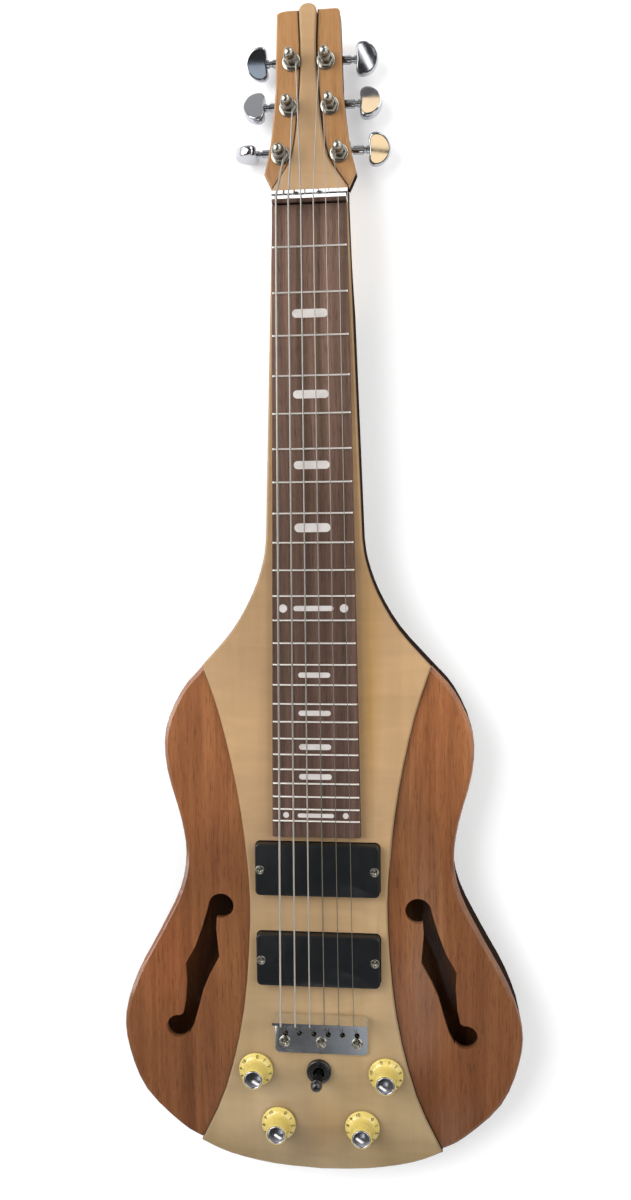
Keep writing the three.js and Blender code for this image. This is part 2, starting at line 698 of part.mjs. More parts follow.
const postCrown = 1.6
const waistRise = 7
const waistHeight = 6
const waistLevel = coreThickness + waistRise
const stringBore = 1
const boreDrop = 3.9
function post({ x, y }) {
  const gearFoot = wormLevel - gearHalfHeight
  const solid = turned([
    [0, gearFoot], [gearRadius, gearFoot], [gearRadius, gearFoot + gearHalfHeight * 2],
    [postRadius, gearFoot + gearHalfHeight * 2], [postRadius, waistLevel - waistHeight / 2],
    [waistRadius, waistLevel], [postRadius, waistLevel + waistHeight / 2], [postRadius, postTop - postCrown],
    [postRadius * 0.8, postTop - postCrown * 0.4], [postRadius * 0.4, postTop], [0, postTop],
  ], 14).translate([x, y, 0])
  const reach = postRadius * 2
  return solid.subtract(acrossDrum(x - reach, x + reach, y, postTop - boreDrop, stringBore, 8))
}

// Kidney outline of a button, as shares of its half length and half width
const kidneyShares = [
  [-1, 0.6], [-0.78, 0.92], [-0.3, 1], [0.3, 0.86], [0.78, 0.5], [1, 0], [0.78, -0.5], [0.3, -0.86],
  [-0.3, -1], [-0.78, -0.92], [-1, -0.6], [-0.92, 0],
]
const buttonTurnShares = [0.5, -0.1, 0.08, 0.07, -0.06, 0.05]
function button({ side, x, y }, turn) {
  const outline = new THREE.CatmullRomCurve3(kidneyShares.map(([u, v]) =>
    new THREE.Vector3(u * buttonHalfLength, v * buttonHalfWidth, 0)), true).getPoints(20).slice(0, -1)
  const wing = plan(shapeOf(outline.map((p) => point(p.x, p.y))), -buttonHalfThickness, buttonHalfThickness,
    buttonHalfThickness * 0.6)
  const place = new THREE.Vector3(x + side * buttonCentre, y + wormOffset, wormLevel)
  const turnedWing = wing.rotate([turn * 180, 0, side > 0 ? 0 : 180]).translate(place.toArray())
  const inner = x - side * (housingHalfWidth - housingWall - runningGap)
  const collar = x + side * (housingHalfWidth + runningGap)
  return joined([
    turnedWing,
    acrossDrum(inner, place.x - side * buttonHalfLength / 2, place.y, place.z, wormRadius),
    acrossDrum(collar, place.x - side * buttonHalfLength * 0.8, place.y, place.z, stemRadius),
  ])
}

tuners.forEach((tuner, i) => {
  const number = i + 1
  add(`tuner_housing_${number}`, housing(tuner), chrome)
  add(`tuner_bushing_${number}`, bushing(tuner), chrome)
  add(`tuner_post_${number}`, post(tuner), chrome)
  add(`tuner_button_${number}`, button(tuner, buttonTurnShares[i]), chrome)
})

// Strings: each is one tube from its anchor over the bridge and the nut to its turns on the post
const turns = 2
const stepsPerTurn = 8
const stringSides = 5
const turnGap = 0.6
function ringsOf(points, radius) {
  const side = new THREE.Vector3(1, 0, 0)
  return points.map((centre, i) => {
    const before = points[Math.max(i - 1, 0)]
    const after = points[Math.min(i + 1, points.length - 1)]
    const heading = after.clone().sub(before).normalize()
    side.addScaledVector(heading, -side.dot(heading)).normalize()
    const up = heading.clone().cross(side)
    return Array.from({ length: stringSides }, (_, k) => {
      const angle = k / stringSides * 2 * Math.PI
      return centre.clone().addScaledVector(side, radius * Math.cos(angle))
        .addScaledVector(up, radius * Math.sin(angle))
    })
  })
}

function tube(rings) {
  const place = rings.flat().flatMap((spot) => spot.toArray())
  const faces = []
  const at = (ring, k) => ring * stringSides + k % stringSides
  for (let ring = 0; ring + 1 < rings.length; ring++) {
    for (let k = 0; k < stringSides; k++) {
      faces.push(at(ring, k), at(ring, k + 1), at(ring + 1, k + 1))
      faces.push(at(ring, k), at(ring + 1, k + 1), at(ring + 1, k))
    }
  }
  for (let k = 1; k + 1 < stringSides; k++) {
    faces.push(at(0, 0), at(0, k + 1), at(0, k))
    faces.push(at(rings.length - 1, 0), at(rings.length - 1, k), at(rings.length - 1, k + 1))
  }
  const geometry = new THREE.BufferGeometry()
  geometry.setAttribute('position', new THREE.BufferAttribute(new Float32Array(place), 3))
  geometry.setIndex(faces)
  return solidOf(geometry)
}

function stringPath(i, tuner) {
  const radius = gauges[i] / 2
  const over = stringLevel + radius + seat / 2
  const spot = (x, y, z) => new THREE.Vector3(x, y, z)
  const reel = postRadius + seat + radius
  const pitch = gauges[i] + turnGap
  const firstTurn = waistLevel - turns * pitch / 2
  // The string runs to the inner side of its post, then round it and up
  const nutSpot = spot(nutX(i), nutFace + plateThickness, over)
  const toPost = Math.atan2(tuner.y - nutSpot.y, tuner.x - nutSpot.x)
  const distance = Math.hypot(tuner.y - nutSpot.y, tuner.x - nutSpot.x)
  const lean = Math.acos(reel / distance)
  const startAngle = toPost + Math.PI - tuner.side * lean
  const coil = Array.from({ length: turns * stepsPerTurn + 1 }, (_, k) => {
    const angle = startAngle - tuner.side * k / stepsPerTurn * 2 * Math.PI
    return spot(tuner.x + reel * Math.cos(angle), tuner.y + reel * Math.sin(angle),
      firstTurn + k / stepsPerTurn * pitch)
  })
  return [
    spot(anchorX(i), anchorPlace, coreThickness - anchorDepth / 2),
    spot(anchorX(i), anchorPlace, coreThickness + plateThickness),
    spot(bridgeX(i), bridgeFace - plateThickness - radius, over - radius),
    spot(bridgeX(i), bridgeFace - plateThickness / 2, over),
    spot(nutX(i), nutFace + plateThickness / 2, over),
    nutSpot,
    ...coil,
  ]
}

// Least distance between the corners of rings that lie half a turn or more apart
function leastGap(rings) {
  let least = Infinity
  for (let i = 0; i < rings.length; i++) {
    for (let j = i + stepsPerTurn / 2; j < rings.length; j++) {
      for (const a of rings[i]) {
        for (const b of rings[j]) least = Math.min(least, a.distanceTo(b))
      }
    }
  }
  return least
}

// Left strings run to the left tuners, nearest first, and the right ones mirror them
const tunerOfString = [0, 1, 2, 5, 4, 3]
const turnGaps = gauges.map((gauge, i) => {
  const rings = ringsOf(stringPath(i, tuners[tunerOfString[i]]), gauge / 2)
  add(`string_${i + 1}`, tube(rings), wire)
  return leastGap(rings)
})
console.log(`least gap between a string's turns: ${Math.min(...turnGaps).toFixed(2)} mm`)

// The part's origin is at the middle of its footprint
const whole = new THREE.Group()
whole.add(guitar)
guitar.position.y = (tailReach - headTip) / 2

export default whole
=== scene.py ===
"""Looks of the lap steel guitar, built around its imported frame.

Sizes are in millimetres of the guitar's own frame, x across, y from the bridge edge to the headstock and
z up from the back. at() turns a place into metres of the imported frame."""
import math

import bmesh
import bpy
from mathutils import Matrix, Vector


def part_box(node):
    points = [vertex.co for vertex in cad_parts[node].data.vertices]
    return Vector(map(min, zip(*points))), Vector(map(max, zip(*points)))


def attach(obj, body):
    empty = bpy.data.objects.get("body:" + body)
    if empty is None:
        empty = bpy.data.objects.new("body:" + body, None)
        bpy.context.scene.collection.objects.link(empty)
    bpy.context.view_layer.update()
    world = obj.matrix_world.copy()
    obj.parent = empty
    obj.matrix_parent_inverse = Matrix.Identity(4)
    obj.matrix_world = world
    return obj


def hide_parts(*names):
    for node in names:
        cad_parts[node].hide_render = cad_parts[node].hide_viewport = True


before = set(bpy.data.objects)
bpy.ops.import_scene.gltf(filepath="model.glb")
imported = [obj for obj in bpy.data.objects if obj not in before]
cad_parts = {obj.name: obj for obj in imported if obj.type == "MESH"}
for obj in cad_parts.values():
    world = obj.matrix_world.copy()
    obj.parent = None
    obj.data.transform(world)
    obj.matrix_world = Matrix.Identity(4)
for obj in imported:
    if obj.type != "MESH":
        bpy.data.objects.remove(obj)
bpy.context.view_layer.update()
scene = bpy.context.scene

MM = 0.001
MID_Y = 289.35
TURN = 2 * math.pi


def at(x, y, z):
    return Vector((x, y - MID_Y, z)) * MM


# Sizes shared with the frame. SEAT is the small depth or play where pieces meet
SCALE_LENGTH = 571.5
FRET_COUNT = 24
CORE_TOP = 38
BOARD_TOP = 44
STRING_LEVEL = 55
HEAD_BACK = 20
HEAD_REACH = 128.2
NUT_HALF_WIDTH = 25.8
SEAT = 0.3


# Camera, fitted to the photograph
CAMERA_PLACE = at(73.51, 359.94, 740.95)
CAMERA_YAW = -0.1032
CAMERA_PITCH = 0.0854
CAMERA_ROLL = 0.0118
FOCAL_PIXELS = 1012.97
IMAGE_HEIGHT = 1200
SENSOR = 36.0


def place_camera():
    lens = bpy.data.cameras.new("camera")
    lens.sensor_fit = "VERTICAL"
    lens.sensor_height = SENSOR
    lens.lens = SENSOR * FOCAL_PIXELS / IMAGE_HEIGHT
    camera = bpy.data.objects.new("camera", lens)
    scene.collection.objects.link(camera)
    turn = (Matrix.Rotation(CAMERA_ROLL, 3, "Z") @ Matrix.Rotation(CAMERA_PITCH, 3, "X")
            @ Matrix.Rotation(CAMERA_YAW, 3, "Y"))
    camera.matrix_world = Matrix.Translation(CAMERA_PLACE) @ turn.transposed().to_4x4()
    scene.camera = camera


place_camera()


# Looks: procedural materials
def add_ramp(tree, value, stops):
    """Colours by a value, each at its place between 0 and 1."""
    made = tree.nodes.new("ShaderNodeValToRGB")
    elements = made.color_ramp.elements
    while len(elements) < len(stops):
        elements.new(0.5)
    for element, (position, colour) in zip(elements, stops):
        element.position = position
        element.color = (*colour, 1.0)
    tree.links.new(value, made.inputs["Fac"])
    return made.outputs["Color"]


def add_mix(tree, factor, first, second, blend="MIX"):
    made = tree.nodes.new("ShaderNodeMix")
    made.data_type = "RGBA"
    made.blend_type = blend
    for socket, value in (("Factor", factor), ("A", first), ("B", second)):
        found = [s for s in made.inputs if s.name == socket and s.enabled][0]
        if isinstance(value, bpy.types.NodeSocket):
            tree.links.new(value, found)
        else:
            found.default_value = value if socket == "Factor" else (*value, 1.0)
    return [s for s in made.outputs if s.enabled][0]


class Look:
    """A material with its shader and short calls for its nodes."""

    def __init__(self, name, sockets):
        self.material = bpy.data.materials.new(name)
        self.material.use_nodes = True
        self.tree = self.material.node_tree
        self.shader = self.tree.nodes["Principled BSDF"]
        for socket, value in sockets.items():
            self.set(socket, value)

    def set(self, socket, value):
        if isinstance(value, bpy.types.NodeSocket):
            self.tree.links.new(value, self.shader.inputs[socket])
        else:
            self.shader.inputs[socket].default_value = value

    def node(self, kind, inputs, output=0, **settings):
        made = self.tree.nodes.new("ShaderNode" + kind)
        for setting, value in settings.items():
            setattr(made, setting, value)
        for socket, value in inputs.items():
            if isinstance(value, bpy.types.NodeSocket):
                self.tree.links.new(value, made.inputs[socket])
            else:
                made.inputs[socket].default_value = value
        return made.outputs[output]

    def place(self):
        return self.node("TexCoord", {}, "Object")

    def noise(self, place, widths, detail=3.0, distortion=0.0):
        """Noise whose patches are as wide as given along x, y and z, in millimetres."""
        scaled = self.node("Mapping", {"Vector": place, "Scale": [1 / (w * MM) for w in widths]})
        return self.node("TexNoise", {"Vector": scaled, "Scale": 1.0, "Detail": detail,
                                      "Roughness": 0.55, "Distortion": distortion}, "Fac")

    def spread(self, value, low, high, to_low=0.0, to_high=1.0):
        return self.node("MapRange", {"Value": value, "From Min": low, "From Max": high,
                                      "To Min": to_low, "To Max": to_high})

    def ramp(self, value, stops):
        return add_ramp(self.tree, value, stops)

    def mix(self, factor, first, second):
        return add_mix(self.tree, factor, first, second)

    def tinted(self, colour, tint):
        return add_mix(self.tree, 1.0, colour, tint, "MULTIPLY")

    def part(self, vector, axis):
        return self.node("SeparateXYZ", {"Vector": vector}, axis)

    def along(self, place, stops):
        """Colours by their place along y, in millimetres."""
        first, last = stops[0][0], stops[-1][0]
        share = self.spread(self.part(place, "Y"), at(0, first, 0).y, at(0, last, 0).y)
        return self.ramp(share, [((y - first) / (last - first), colour) for y, colour in stops])

    def maths(self, operation, first, second):
        return self.node("Math", {0: first, 1: second}, operation=operation)

    def bump(self, height, depth, strength=1.0):
        self.set("Normal", self.node("Bump", {"Height": height, "Distance": depth * MM,
                                              "Strength": strength}, "Normal"))


# The span that holds most values of a noise
MIDDLE = (0.3, 0.7)

# Wood: how its grain wanders, and the sizes of its streaks, fibres, pores, curls and clouds
WANDER_REACH = 6
WANDER_SIZE = (120, 260, 120)
STREAK_LENGTH = 420
FIBRE_LENGTH = 55
FIBRE_SPAN = (0.25, 0.75)
PORE_SIZE = (0.55, 11, 0.55)
PORE_SPAN = (0.36, 0.44)
CURL_SIZE = (58, 15, 58)
CURL_BEND = 1.2
CLOUD_SIZE = (70, 90, 70)
CLOUD_SPAN = (0.35, 0.65)
CLOUD_WARMTH = (0, 0.1, 0.4)
GRAIN_DEPTH = 0.05
WOOD_ROUGHNESS = (0.5, 0.36)
PATCH_WANDER = 0.3
FAR = 1e6

# Painted side shade: how upright a face has to be, and how it changes the lacquer
SIDE_SHADE_EDGE = 32.5
SIDE_SHADE_BLEND = 2.5
SIDE_SHADE_TILT = (0.95, 0.6)
SIDE_SHADE_COAT = 0.02
SIDE_SHADE_ROUGHNESS = 0.3


def wood(name, colours, streak, grain, pore, flame=0.0, clouds=0.0, side_shade=None, edge=SIDE_SHADE_EDGE, coat=0.6,
         gloss=0.12, fine=0.38, shade_along=None, light_and_shade_ovals=()):
    """Lacquered wood with its grain along y: colours from dark to light, widths of streaks and grain.
    Painted shade darkens the wood along y, and each painted oval lightens or darkens it. A painted shade
    darkens the upright sides below the edge's level."""
    look = Look(name, {"Coat Roughness": gloss, "Specular IOR Level": 0.0})
    place = look.place()
    wander = look.noise(place, WANDER_SIZE, detail=1.0)
    shift = look.node("CombineXYZ", {"X": look.spread(wander, 0, 1, -WANDER_REACH * MM, WANDER_REACH * MM)})
    waved = look.node("VectorMath", {0: place, 1: shift}, operation="ADD")
    broad = look.noise(waved, (streak, STREAK_LENGTH, streak))
    fibres = look.noise(waved, (grain, FIBRE_LENGTH, grain), detail=4.0)
    both = look.maths("ADD", look.spread(broad, *MIDDLE, 0, 1 - fine),
                      look.spread(fibres, *FIBRE_SPAN, 0, fine))
    shares = [i / (len(colours) - 1) for i in range(len(colours))]
    colour = look.ramp(both, list(zip(shares, colours)))
    dashes = look.spread(look.noise(waved, PORE_SIZE, detail=2.0), *PORE_SPAN, 1 - pore, 1)
    colour = look.tinted(colour, dashes)
    if flame:
        curls = look.noise(waved, CURL_SIZE, detail=1.0, distortion=CURL_BEND)
        colour = look.tinted(colour, look.spread(curls, *MIDDLE, 1 - flame, 1 + flame))
    if clouds:
        cloud = look.noise(place, CLOUD_SIZE, detail=1.5)
        dim, bright = (1 - clouds,) * 3, tuple(1 - clouds * warmth for warmth in CLOUD_WARMTH)
        colour = look.tinted(colour, look.ramp(cloud, list(zip(CLOUD_SPAN, (dim, bright)))))
    # Painted shade: the colour darkens along y where less light falls
    if shade_along:
        colour = look.tinted(colour, look.along(waved, shade_along))
    # Painted light and shade: each oval tints the colour lighter or darker
    for (x, y), radii, tint in light_and_shade_ovals:
        moved = look.node("VectorMath", {0: waved, 1: at(x, y, 0)}, operation="SUBTRACT")
        scales = [1 / (r * MM) for r in (*radii, FAR)]
        scaled = look.node("VectorMath", {0: moved, 1: scales}, operation="MULTIPLY")
        reach = look.node("VectorMath", {0: scaled}, "Value", operation="LENGTH")
        uneven = look.maths("ADD", reach, look.spread(wander, *MIDDLE, -PATCH_WANDER, PATCH_WANDER))
        colour = look.mix(look.spread(uneven, 1, 0), colour, look.tinted(colour, tint))
    rough = look.spread(fibres, *MIDDLE, *WOOD_ROUGHNESS)
    # Painted shade: upright sides below the edge get a near-black brown and a thinner, rougher lacquer
    if side_shade:
        facing = look.part(look.node("TexCoord", {}, "Normal"), "Z")
        upright = look.spread(look.maths("ABSOLUTE", facing, 0), *SIDE_SHADE_TILT)
        level = look.spread(look.part(place, "Z"), edge * MM, (edge - SIDE_SHADE_BLEND) * MM)
        sides = look.maths("MULTIPLY", upright, level)
        colour = look.mix(sides, colour, side_shade)
        look.set("Coat Weight", look.spread(sides, 0, 1, coat, SIDE_SHADE_COAT))
        rough = look.maths("ADD", rough, look.spread(sides, 0, 1, 0, SIDE_SHADE_ROUGHNESS))
    else:
        look.set("Coat Weight", coat)
    look.set("Base Color", colour)
    look.set("Roughness", rough)
    look.bump(look.maths("MULTIPLY", dashes, fibres), GRAIN_DEPTH)
    return look.material


SMUDGE_SIZE = (9, 9, 9)
DENT_SIZE = (3, 3, 3)
DENT_DEPTH = 0.01


def metal(name, colour, roughness, smudge=0.06, brushed=None, dents=0.4, dimming_along=None):
    """Plated or plain metal. The dimming gives the share of the colour that stays by place along y, as
    painted shade.
    """
    look = Look(name, {"Metallic": 1.0, "Base Color": (*colour, 1.0)})
    place = look.place()
    if dimming_along:
        dimmed = [(y, tuple(share * c for c in colour)) for y, share in dimming_along]
        look.set("Base Color", look.along(place, dimmed))
    cloud = look.noise(place, brushed or SMUDGE_SIZE, detail=4.0)
    look.set("Roughness", look.spread(cloud, *MIDDLE, roughness, roughness + smudge))
    look.bump(look.noise(place, brushed or DENT_SIZE), DENT_DEPTH, dents)
    return look.material


MOTTLE_SIZE = (12, 12, 12)
MOTTLE_SHADE = 0.82
MOTTLE_ROUGHNESS = 0.1
PLASTIC_GRAIN = (0.4, 0.4, 0.4)
PLASTIC_DEPTH = 0.02


def moulded(name, colour, roughness, coat=0.0, shine=0.5):
    """Moulded plastic, pearl or ink, slightly mottled and with a fine grain."""
    look = Look(name, {"Coat Weight": coat, "Coat Roughness": 0.1, "Specular IOR Level": shine})
    place = look.place()
    cloud = look.noise(place, MOTTLE_SIZE)
    shaded = tuple(c * MOTTLE_SHADE for c in colour)
    look.set("Base Color", look.ramp(cloud, list(zip(MIDDLE, (shaded, colour)))))
    look.set("Roughness", look.spread(cloud, *MIDDLE, roughness, roughness + MOTTLE_ROUGHNESS))
    look.bump(look.noise(place, PLASTIC_GRAIN), PLASTIC_DEPTH)
    return look.material


# Painted shade for the upright sides: a near-black brown where the sides lie in shade
PAINTED_SIDE_SHADE = (0.016, 0.008, 0.004)
# Maple: painted shade darkens it towards the tail, and warm ovals of painted shade lie between the lower
# knobs and along the fretboard's right edge
maple = wood("maple", [(0.37, 0.235, 0.125), (0.44, 0.285, 0.155), (0.50, 0.33, 0.185)],
             streak=44, grain=4.5, pore=0.02, flame=0.05, clouds=0.15, fine=0.16, side_shade=PAINTED_SIDE_SHADE,
             edge=CORE_TOP,
             shade_along=[(-110, (0.61, 0.67, 0.64)), (-90, (0.8, 0.9, 0.93)), (-76, (0.85, 0.96, 1)),
                   (162, (1, 1, 1))],
             light_and_shade_ovals=[((4, -90), (36, 30), (0.8, 0.68, 0.52)), ((39, 220), (10, 150), (0.84, 0.76, 0.5))])
# Wings: painted shade darkens them towards the tail; darker ovals of painted shade lie on the right wing
# beside the core, on the left wing and at the lower right, a warm brighter oval on the left wing is painted
# light, and a bright bluish oval on the right wing is a painted sheen
mahogany = wood("mahogany", [(0.195, 0.072, 0.031), (0.305, 0.12, 0.051), (0.435, 0.185, 0.078)],
                streak=15, grain=1.8, pore=0.3, clouds=0.2, side_shade=PAINTED_SIDE_SHADE,
                shade_along=[(-110, (0.6, 0.6, 0.62)), (94, (0.66, 0.66, 0.66)), (230, (1, 1, 1))],
                light_and_shade_ovals=[((64, 150), (22, 90), (0.6, 0.66, 0.78)), ((78, 70), (20, 135), (1.25, 1.6, 2.1)),
                         ((-110, 34), (30, 60), (1.4, 1.25, 1.2)), ((-74, 110), (20, 60), (0.78, 0.72, 0.8)),
                         ((110, -60), (60, 55), (0.85, 0.8, 0.74))])
mahogany_head = wood("mahogany_head", [(0.29, 0.145, 0.06), (0.365, 0.192, 0.082), (0.42, 0.238, 0.108)],
                     streak=12, grain=1.8, pore=0.22, side_shade=PAINTED_SIDE_SHADE)
# Painted shade: the fretboard darkens towards the body, away from the light
rosewood = wood("rosewood", [(0.069, 0.046, 0.034), (0.132, 0.08, 0.06), (0.224, 0.134, 0.102)],
                streak=5, grain=1.1, pore=0.35, coat=0.12, gloss=0.3,
                shade_along=[(220, (0.63, 0.64, 0.66)), (361, (0.66,) * 3), (431, (0.86,) * 3), (560, (1, 1, 1))])
chrome = metal("chrome", (0.86, 0.86, 0.87), 0.02, smudge=0.03, dents=0.05)
tuner_chrome = metal("tuner_chrome", (0.50, 0.51, 0.54), 0.02, smudge=0.03, dents=0.05)
plate_chrome = metal("plate_chrome", (0.82, 0.84, 0.87), 0.05, dents=0.2)
fret_silver = metal("fret_silver", (0.88, 0.85, 0.80), 0.36, dents=0.0)
# Painted shade on the strings: near black at the anchors, where they drop into shade under the bridge, and
# dimmer along the neck and head
string_steel = metal("string_steel", (0.68, 0.64, 0.58), 0.34,
                     dimming_along=[(-5, 0.12), (-3, 1), (140, 1), (250, 0.46), (540, 0.36)])
thin_steel = metal("thin_steel", (0.36, 0.33, 0.29), 0.34,
                   dimming_along=[(-5, 0.12), (-3, 0.8), (250, 0.62), (540, 0.75)])
nickel = metal("aged_nickel", (0.34, 0.32, 0.27), 0.2)
dark_steel = metal("dark_steel", (0.16, 0.15, 0.14), 0.25)
cap_chrome = metal("cap_chrome", (0.58, 0.56, 0.59), 0.07)
plated_steel = metal("plated_steel", (0.58, 0.58, 0.56), 0.32, brushed=(1, 30, 1))
black = moulded("black_plastic", (0.006, 0.007, 0.008), 0.4, coat=0.3, shine=0.2)
black_gloss = moulded("black_gloss", (0.006, 0.006, 0.006), 0.16, coat=0.3)
cream = moulded("cream_plastic", (0.69, 0.54, 0.145), 0.24, coat=0.5)
print_ink = moulded("olive_ink", (0.055, 0.045, 0.01), 0.5)
pearl = moulded("pearl", (0.60, 0.56, 0.54), 0.24, coat=0.3)


# Pieces
SMOOTH_ANGLE = math.radians(32)
BEVEL_ANGLE = math.radians(40)
FLAT_ANGLE = math.radians(0.3)
WELD = 1e-6
CORNER_STEPS = 6
EDGE_STEPS = 4


def finish_mesh(bm, name, look, body, slot, replaced=(), bevel=0.0, steps=2):
    """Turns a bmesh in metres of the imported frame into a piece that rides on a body."""
    bmesh.ops.remove_doubles(bm, verts=bm.verts, dist=WELD)
    bmesh.ops.recalc_face_normals(bm, faces=bm.faces)
    mesh = bpy.data.meshes.new(name)
    bm.to_mesh(mesh)
    bm.free()
    mesh.materials.append(look)
    mesh.shade_smooth()
    mesh.set_sharp_from_angle(angle=SMOOTH_ANGLE)
    piece = bpy.data.objects.new(name, mesh)
    scene.collection.objects.link(piece)
    if bevel:
        edge = piece.modifiers.new("edge", "BEVEL")
        edge.width = bevel * MM
        edge.segments = steps
        edge.limit_method = "ANGLE"
        edge.angle_limit = BEVEL_ANGLE
        edge.harden_normals = True
    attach(piece, body)
    if replaced:
        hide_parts(*replaced)
    return piece


def skin(node, look, slot, bevel=0.0, steps=2):
    """A welded copy of a CAD node with smooth walls and softened edges, which stands for it."""
    bm = bmesh.new()
    bm.from_mesh(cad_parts[node].data)
    bmesh.ops.remove_doubles(bm, verts=bm.verts, dist=WELD)
    bmesh.ops.dissolve_limit(bm, angle_limit=FLAT_ANGLE, verts=bm.verts, edges=bm.edges)
    return finish_mesh(bm, node + "_skin", look, "guitar", slot, [node], bevel=bevel, steps=steps)


def rings_to_mesh(bm, rings):
    """Joins rings of points, each with the same count, into a closed skin."""
    rows = [[bm.verts.new(p) for p in ring] for ring in rings]
    count = len(rows[0])
    for low, high in zip(rows, rows[1:]):
        for k in range(count):
            bm.faces.new((low[k], low[(k + 1) % count], high[(k + 1) % count], high[k]))
    bm.faces.new(rows[0][::-1])
    bm.faces.new(rows[-1])


def lathe(bm, centre, profile, sides):
    """Turns a profile of (radius, z) about the upright axis through centre. It ends on the axis or where it
    began."""
    x, y = centre
    rows = []
    for radius, z in profile:
        if radius == 0:
            rows.append([bm.verts.new(at(x, y, z))])
        else:
            rows.append([bm.verts.new(at(x + radius * math.cos(TURN * k / sides),
                                         y + radius * math.sin(TURN * k / sides), z)) for k in range(sides)])
    for low, high in zip(rows, rows[1:]):
        for k in range(sides):
            j = (k + 1) % sides
            corners = [low[k % len(low)], low[j % len(low)], high[j % len(high)], high[k % len(high)]]
            kept = list(dict.fromkeys(corners))
            if len(kept) > 2:
                bm.faces.new(kept)


def arc(centre, radii, start, end, steps):
    """Points of an ellipse's arc, angles in quarter turns."""
    angles = [(start + (end - start) * i / steps) * math.pi / 2 for i in range(steps + 1)]
    return [(centre[0] + radii[0] * math.cos(a), centre[1] + radii[1] * math.sin(a)) for a in angles]


def rounded_outline(half_width, half_length, radius):
    corners = [(1, 1, 0), (-1, 1, 1), (-1, -1, 2), (1, -1, 3)]
    points = []
    for sx, sy, quarter in corners:
        centre = (sx * (half_width - radius), sy * (half_length - radius))
        points += arc(centre, (radius, radius), quarter, quarter + 1, CORNER_STEPS)
    return points


def plate(bm, centre, outline, z0, z1, edge=0.0):
    """A plate with an outline about its centre and, where edge is given, a rounded upper edge."""
    def ring(inset, z):
        grown = []
        for px, py in outline:
            length = math.hypot(px, py)
            grown.append(at(centre[0] + px * (length - inset) / length,
                            centre[1] + py * (length - inset) / length, z))
        return grown
    rings = [ring(0, z0), ring(0, z1 - edge)]
    for i in range(1, EDGE_STEPS + 1 if edge else 1):
        angle = i / EDGE_STEPS * math.pi / 2
        rings.append(ring(edge * (1 - math.cos(angle)), z1 - edge + edge * math.sin(angle)))
    rings_to_mesh(bm, rings)


def bodies_mesh(name, build, look, body, slot, replaced=(), **options):
    bm = bmesh.new()
    build(bm)
    return finish_mesh(bm, name, look, body, slot, replaced, **options)


# Wood: core, wings and ears keep their CAD shape
CORE_BEVEL = 0.35
WOOD_BEVEL = 0.3
skin("neck_core", maple, "maple", bevel=CORE_BEVEL)
for side in ("left", "right"):
    skin(f"wing_{side}_body", mahogany, "mahogany")
    skin(f"wing_{side}_top", mahogany, "mahogany", bevel=WOOD_BEVEL)
    skin(f"headstock_ear_{side}", mahogany_head, "mahogany", bevel=WOOD_BEVEL)


# Fingerboard: board, frets and inlays
BOARD_OVERHANG = 11.9
BOARD_END = SCALE_LENGTH / 4 - BOARD_OVERHANG
NUT_GAP = 4.3
BOARD_START = SCALE_LENGTH - NUT_GAP
BOARD_END_HALF = 31.5
BOARD_NUT_HALF = 25.2
FRET_HALF = 0.7
FRET_RISE = 1.1
FRET_STEPS = 8
FRET_INSET = 0.4
FRET_TAPER = 0.8
FRET_END_SHARE = 0.3
BOARD_BEVEL = 0.6


def board_half(y):
    share = (y - BOARD_END) / (SCALE_LENGTH - BOARD_END)
    return BOARD_END_HALF + share * (BOARD_NUT_HALF - BOARD_END_HALF)


def board(bm):
    rings = []
    for y in (BOARD_END, BOARD_START):
        half = board_half(y)
        rings.append([at(x, y, z) for x, z in
                      ((-half, CORE_TOP), (half, CORE_TOP), (half, BOARD_TOP), (-half, BOARD_TOP))])
    rings_to_mesh(bm, rings)


def frets(bm):
    for n in range(1, FRET_COUNT + 1):
        y = SCALE_LENGTH * 2 ** (-n / 12)
        half = board_half(y) - FRET_INSET
        crown = arc((0, 0), (FRET_HALF, FRET_RISE), 0, 2, FRET_STEPS)
        rings = []
        foot = [(y - FRET_HALF, BOARD_TOP - SEAT), (y + FRET_HALF, BOARD_TOP - SEAT)]
        for x, share in ((-half, FRET_END_SHARE), (-half + FRET_TAPER, 1), (half - FRET_TAPER, 1),
                         (half, FRET_END_SHARE)):
            crowned = [(y + u, BOARD_TOP + v * share) for u, v in crown]
            rings.append([at(x, *spot) for spot in (*crowned, *foot)])
        rings_to_mesh(bm, rings)


INLAY_BARS = [
    (492.3, 498.0, 24.3), (438.2, 443.8, 24.5), (390.3, 395.8, 24.8), (347.0, 353.1, 25.0),
    (292.2, 295.9, 28.0), (245.4, 249.1, 22.5), (218.4, 222.1, 22.7), (194.1, 198.2, 22.7),
    (172.8, 176.8, 23.2), (145.3, 148.3, 25.9),
]
INLAY_DOTS = [(21.3, 294.1, 2.9), (21.2, 147.0, 2.1)]
INLAY_X = -0.2
INLAY_TOP = BOARD_TOP + 0.12
INLAY_FOOT = BOARD_TOP - SEAT
BAR_ROUNDNESS = 0.98
DOT_SIDES = 24


def inlays(bm):
    for y0, y1, width in INLAY_BARS:
        half = (y1 - y0) / 2
        outline = rounded_outline(width / 2, half, half * BAR_ROUNDNESS)
        plate(bm, (INLAY_X, (y0 + y1) / 2), outline, INLAY_FOOT, INLAY_TOP)
    for x, y, radius in INLAY_DOTS:
        dot = [(0, INLAY_FOOT), (radius, INLAY_FOOT), (radius, INLAY_TOP), (0, INLAY_TOP)]
        for side in (-1, 1):
            lathe(bm, (INLAY_X + side * x, y), dot, DOT_SIDES)


bodies_mesh("board", board, rosewood, "guitar", "rosewood", ["fingerboard"], bevel=BOARD_BEVEL)
bodies_mesh("frets", frets, fret_silver, "guitar", "string_steel")
bodies_mesh("inlays", inlays, pearl, "guitar", "cream_plastic")


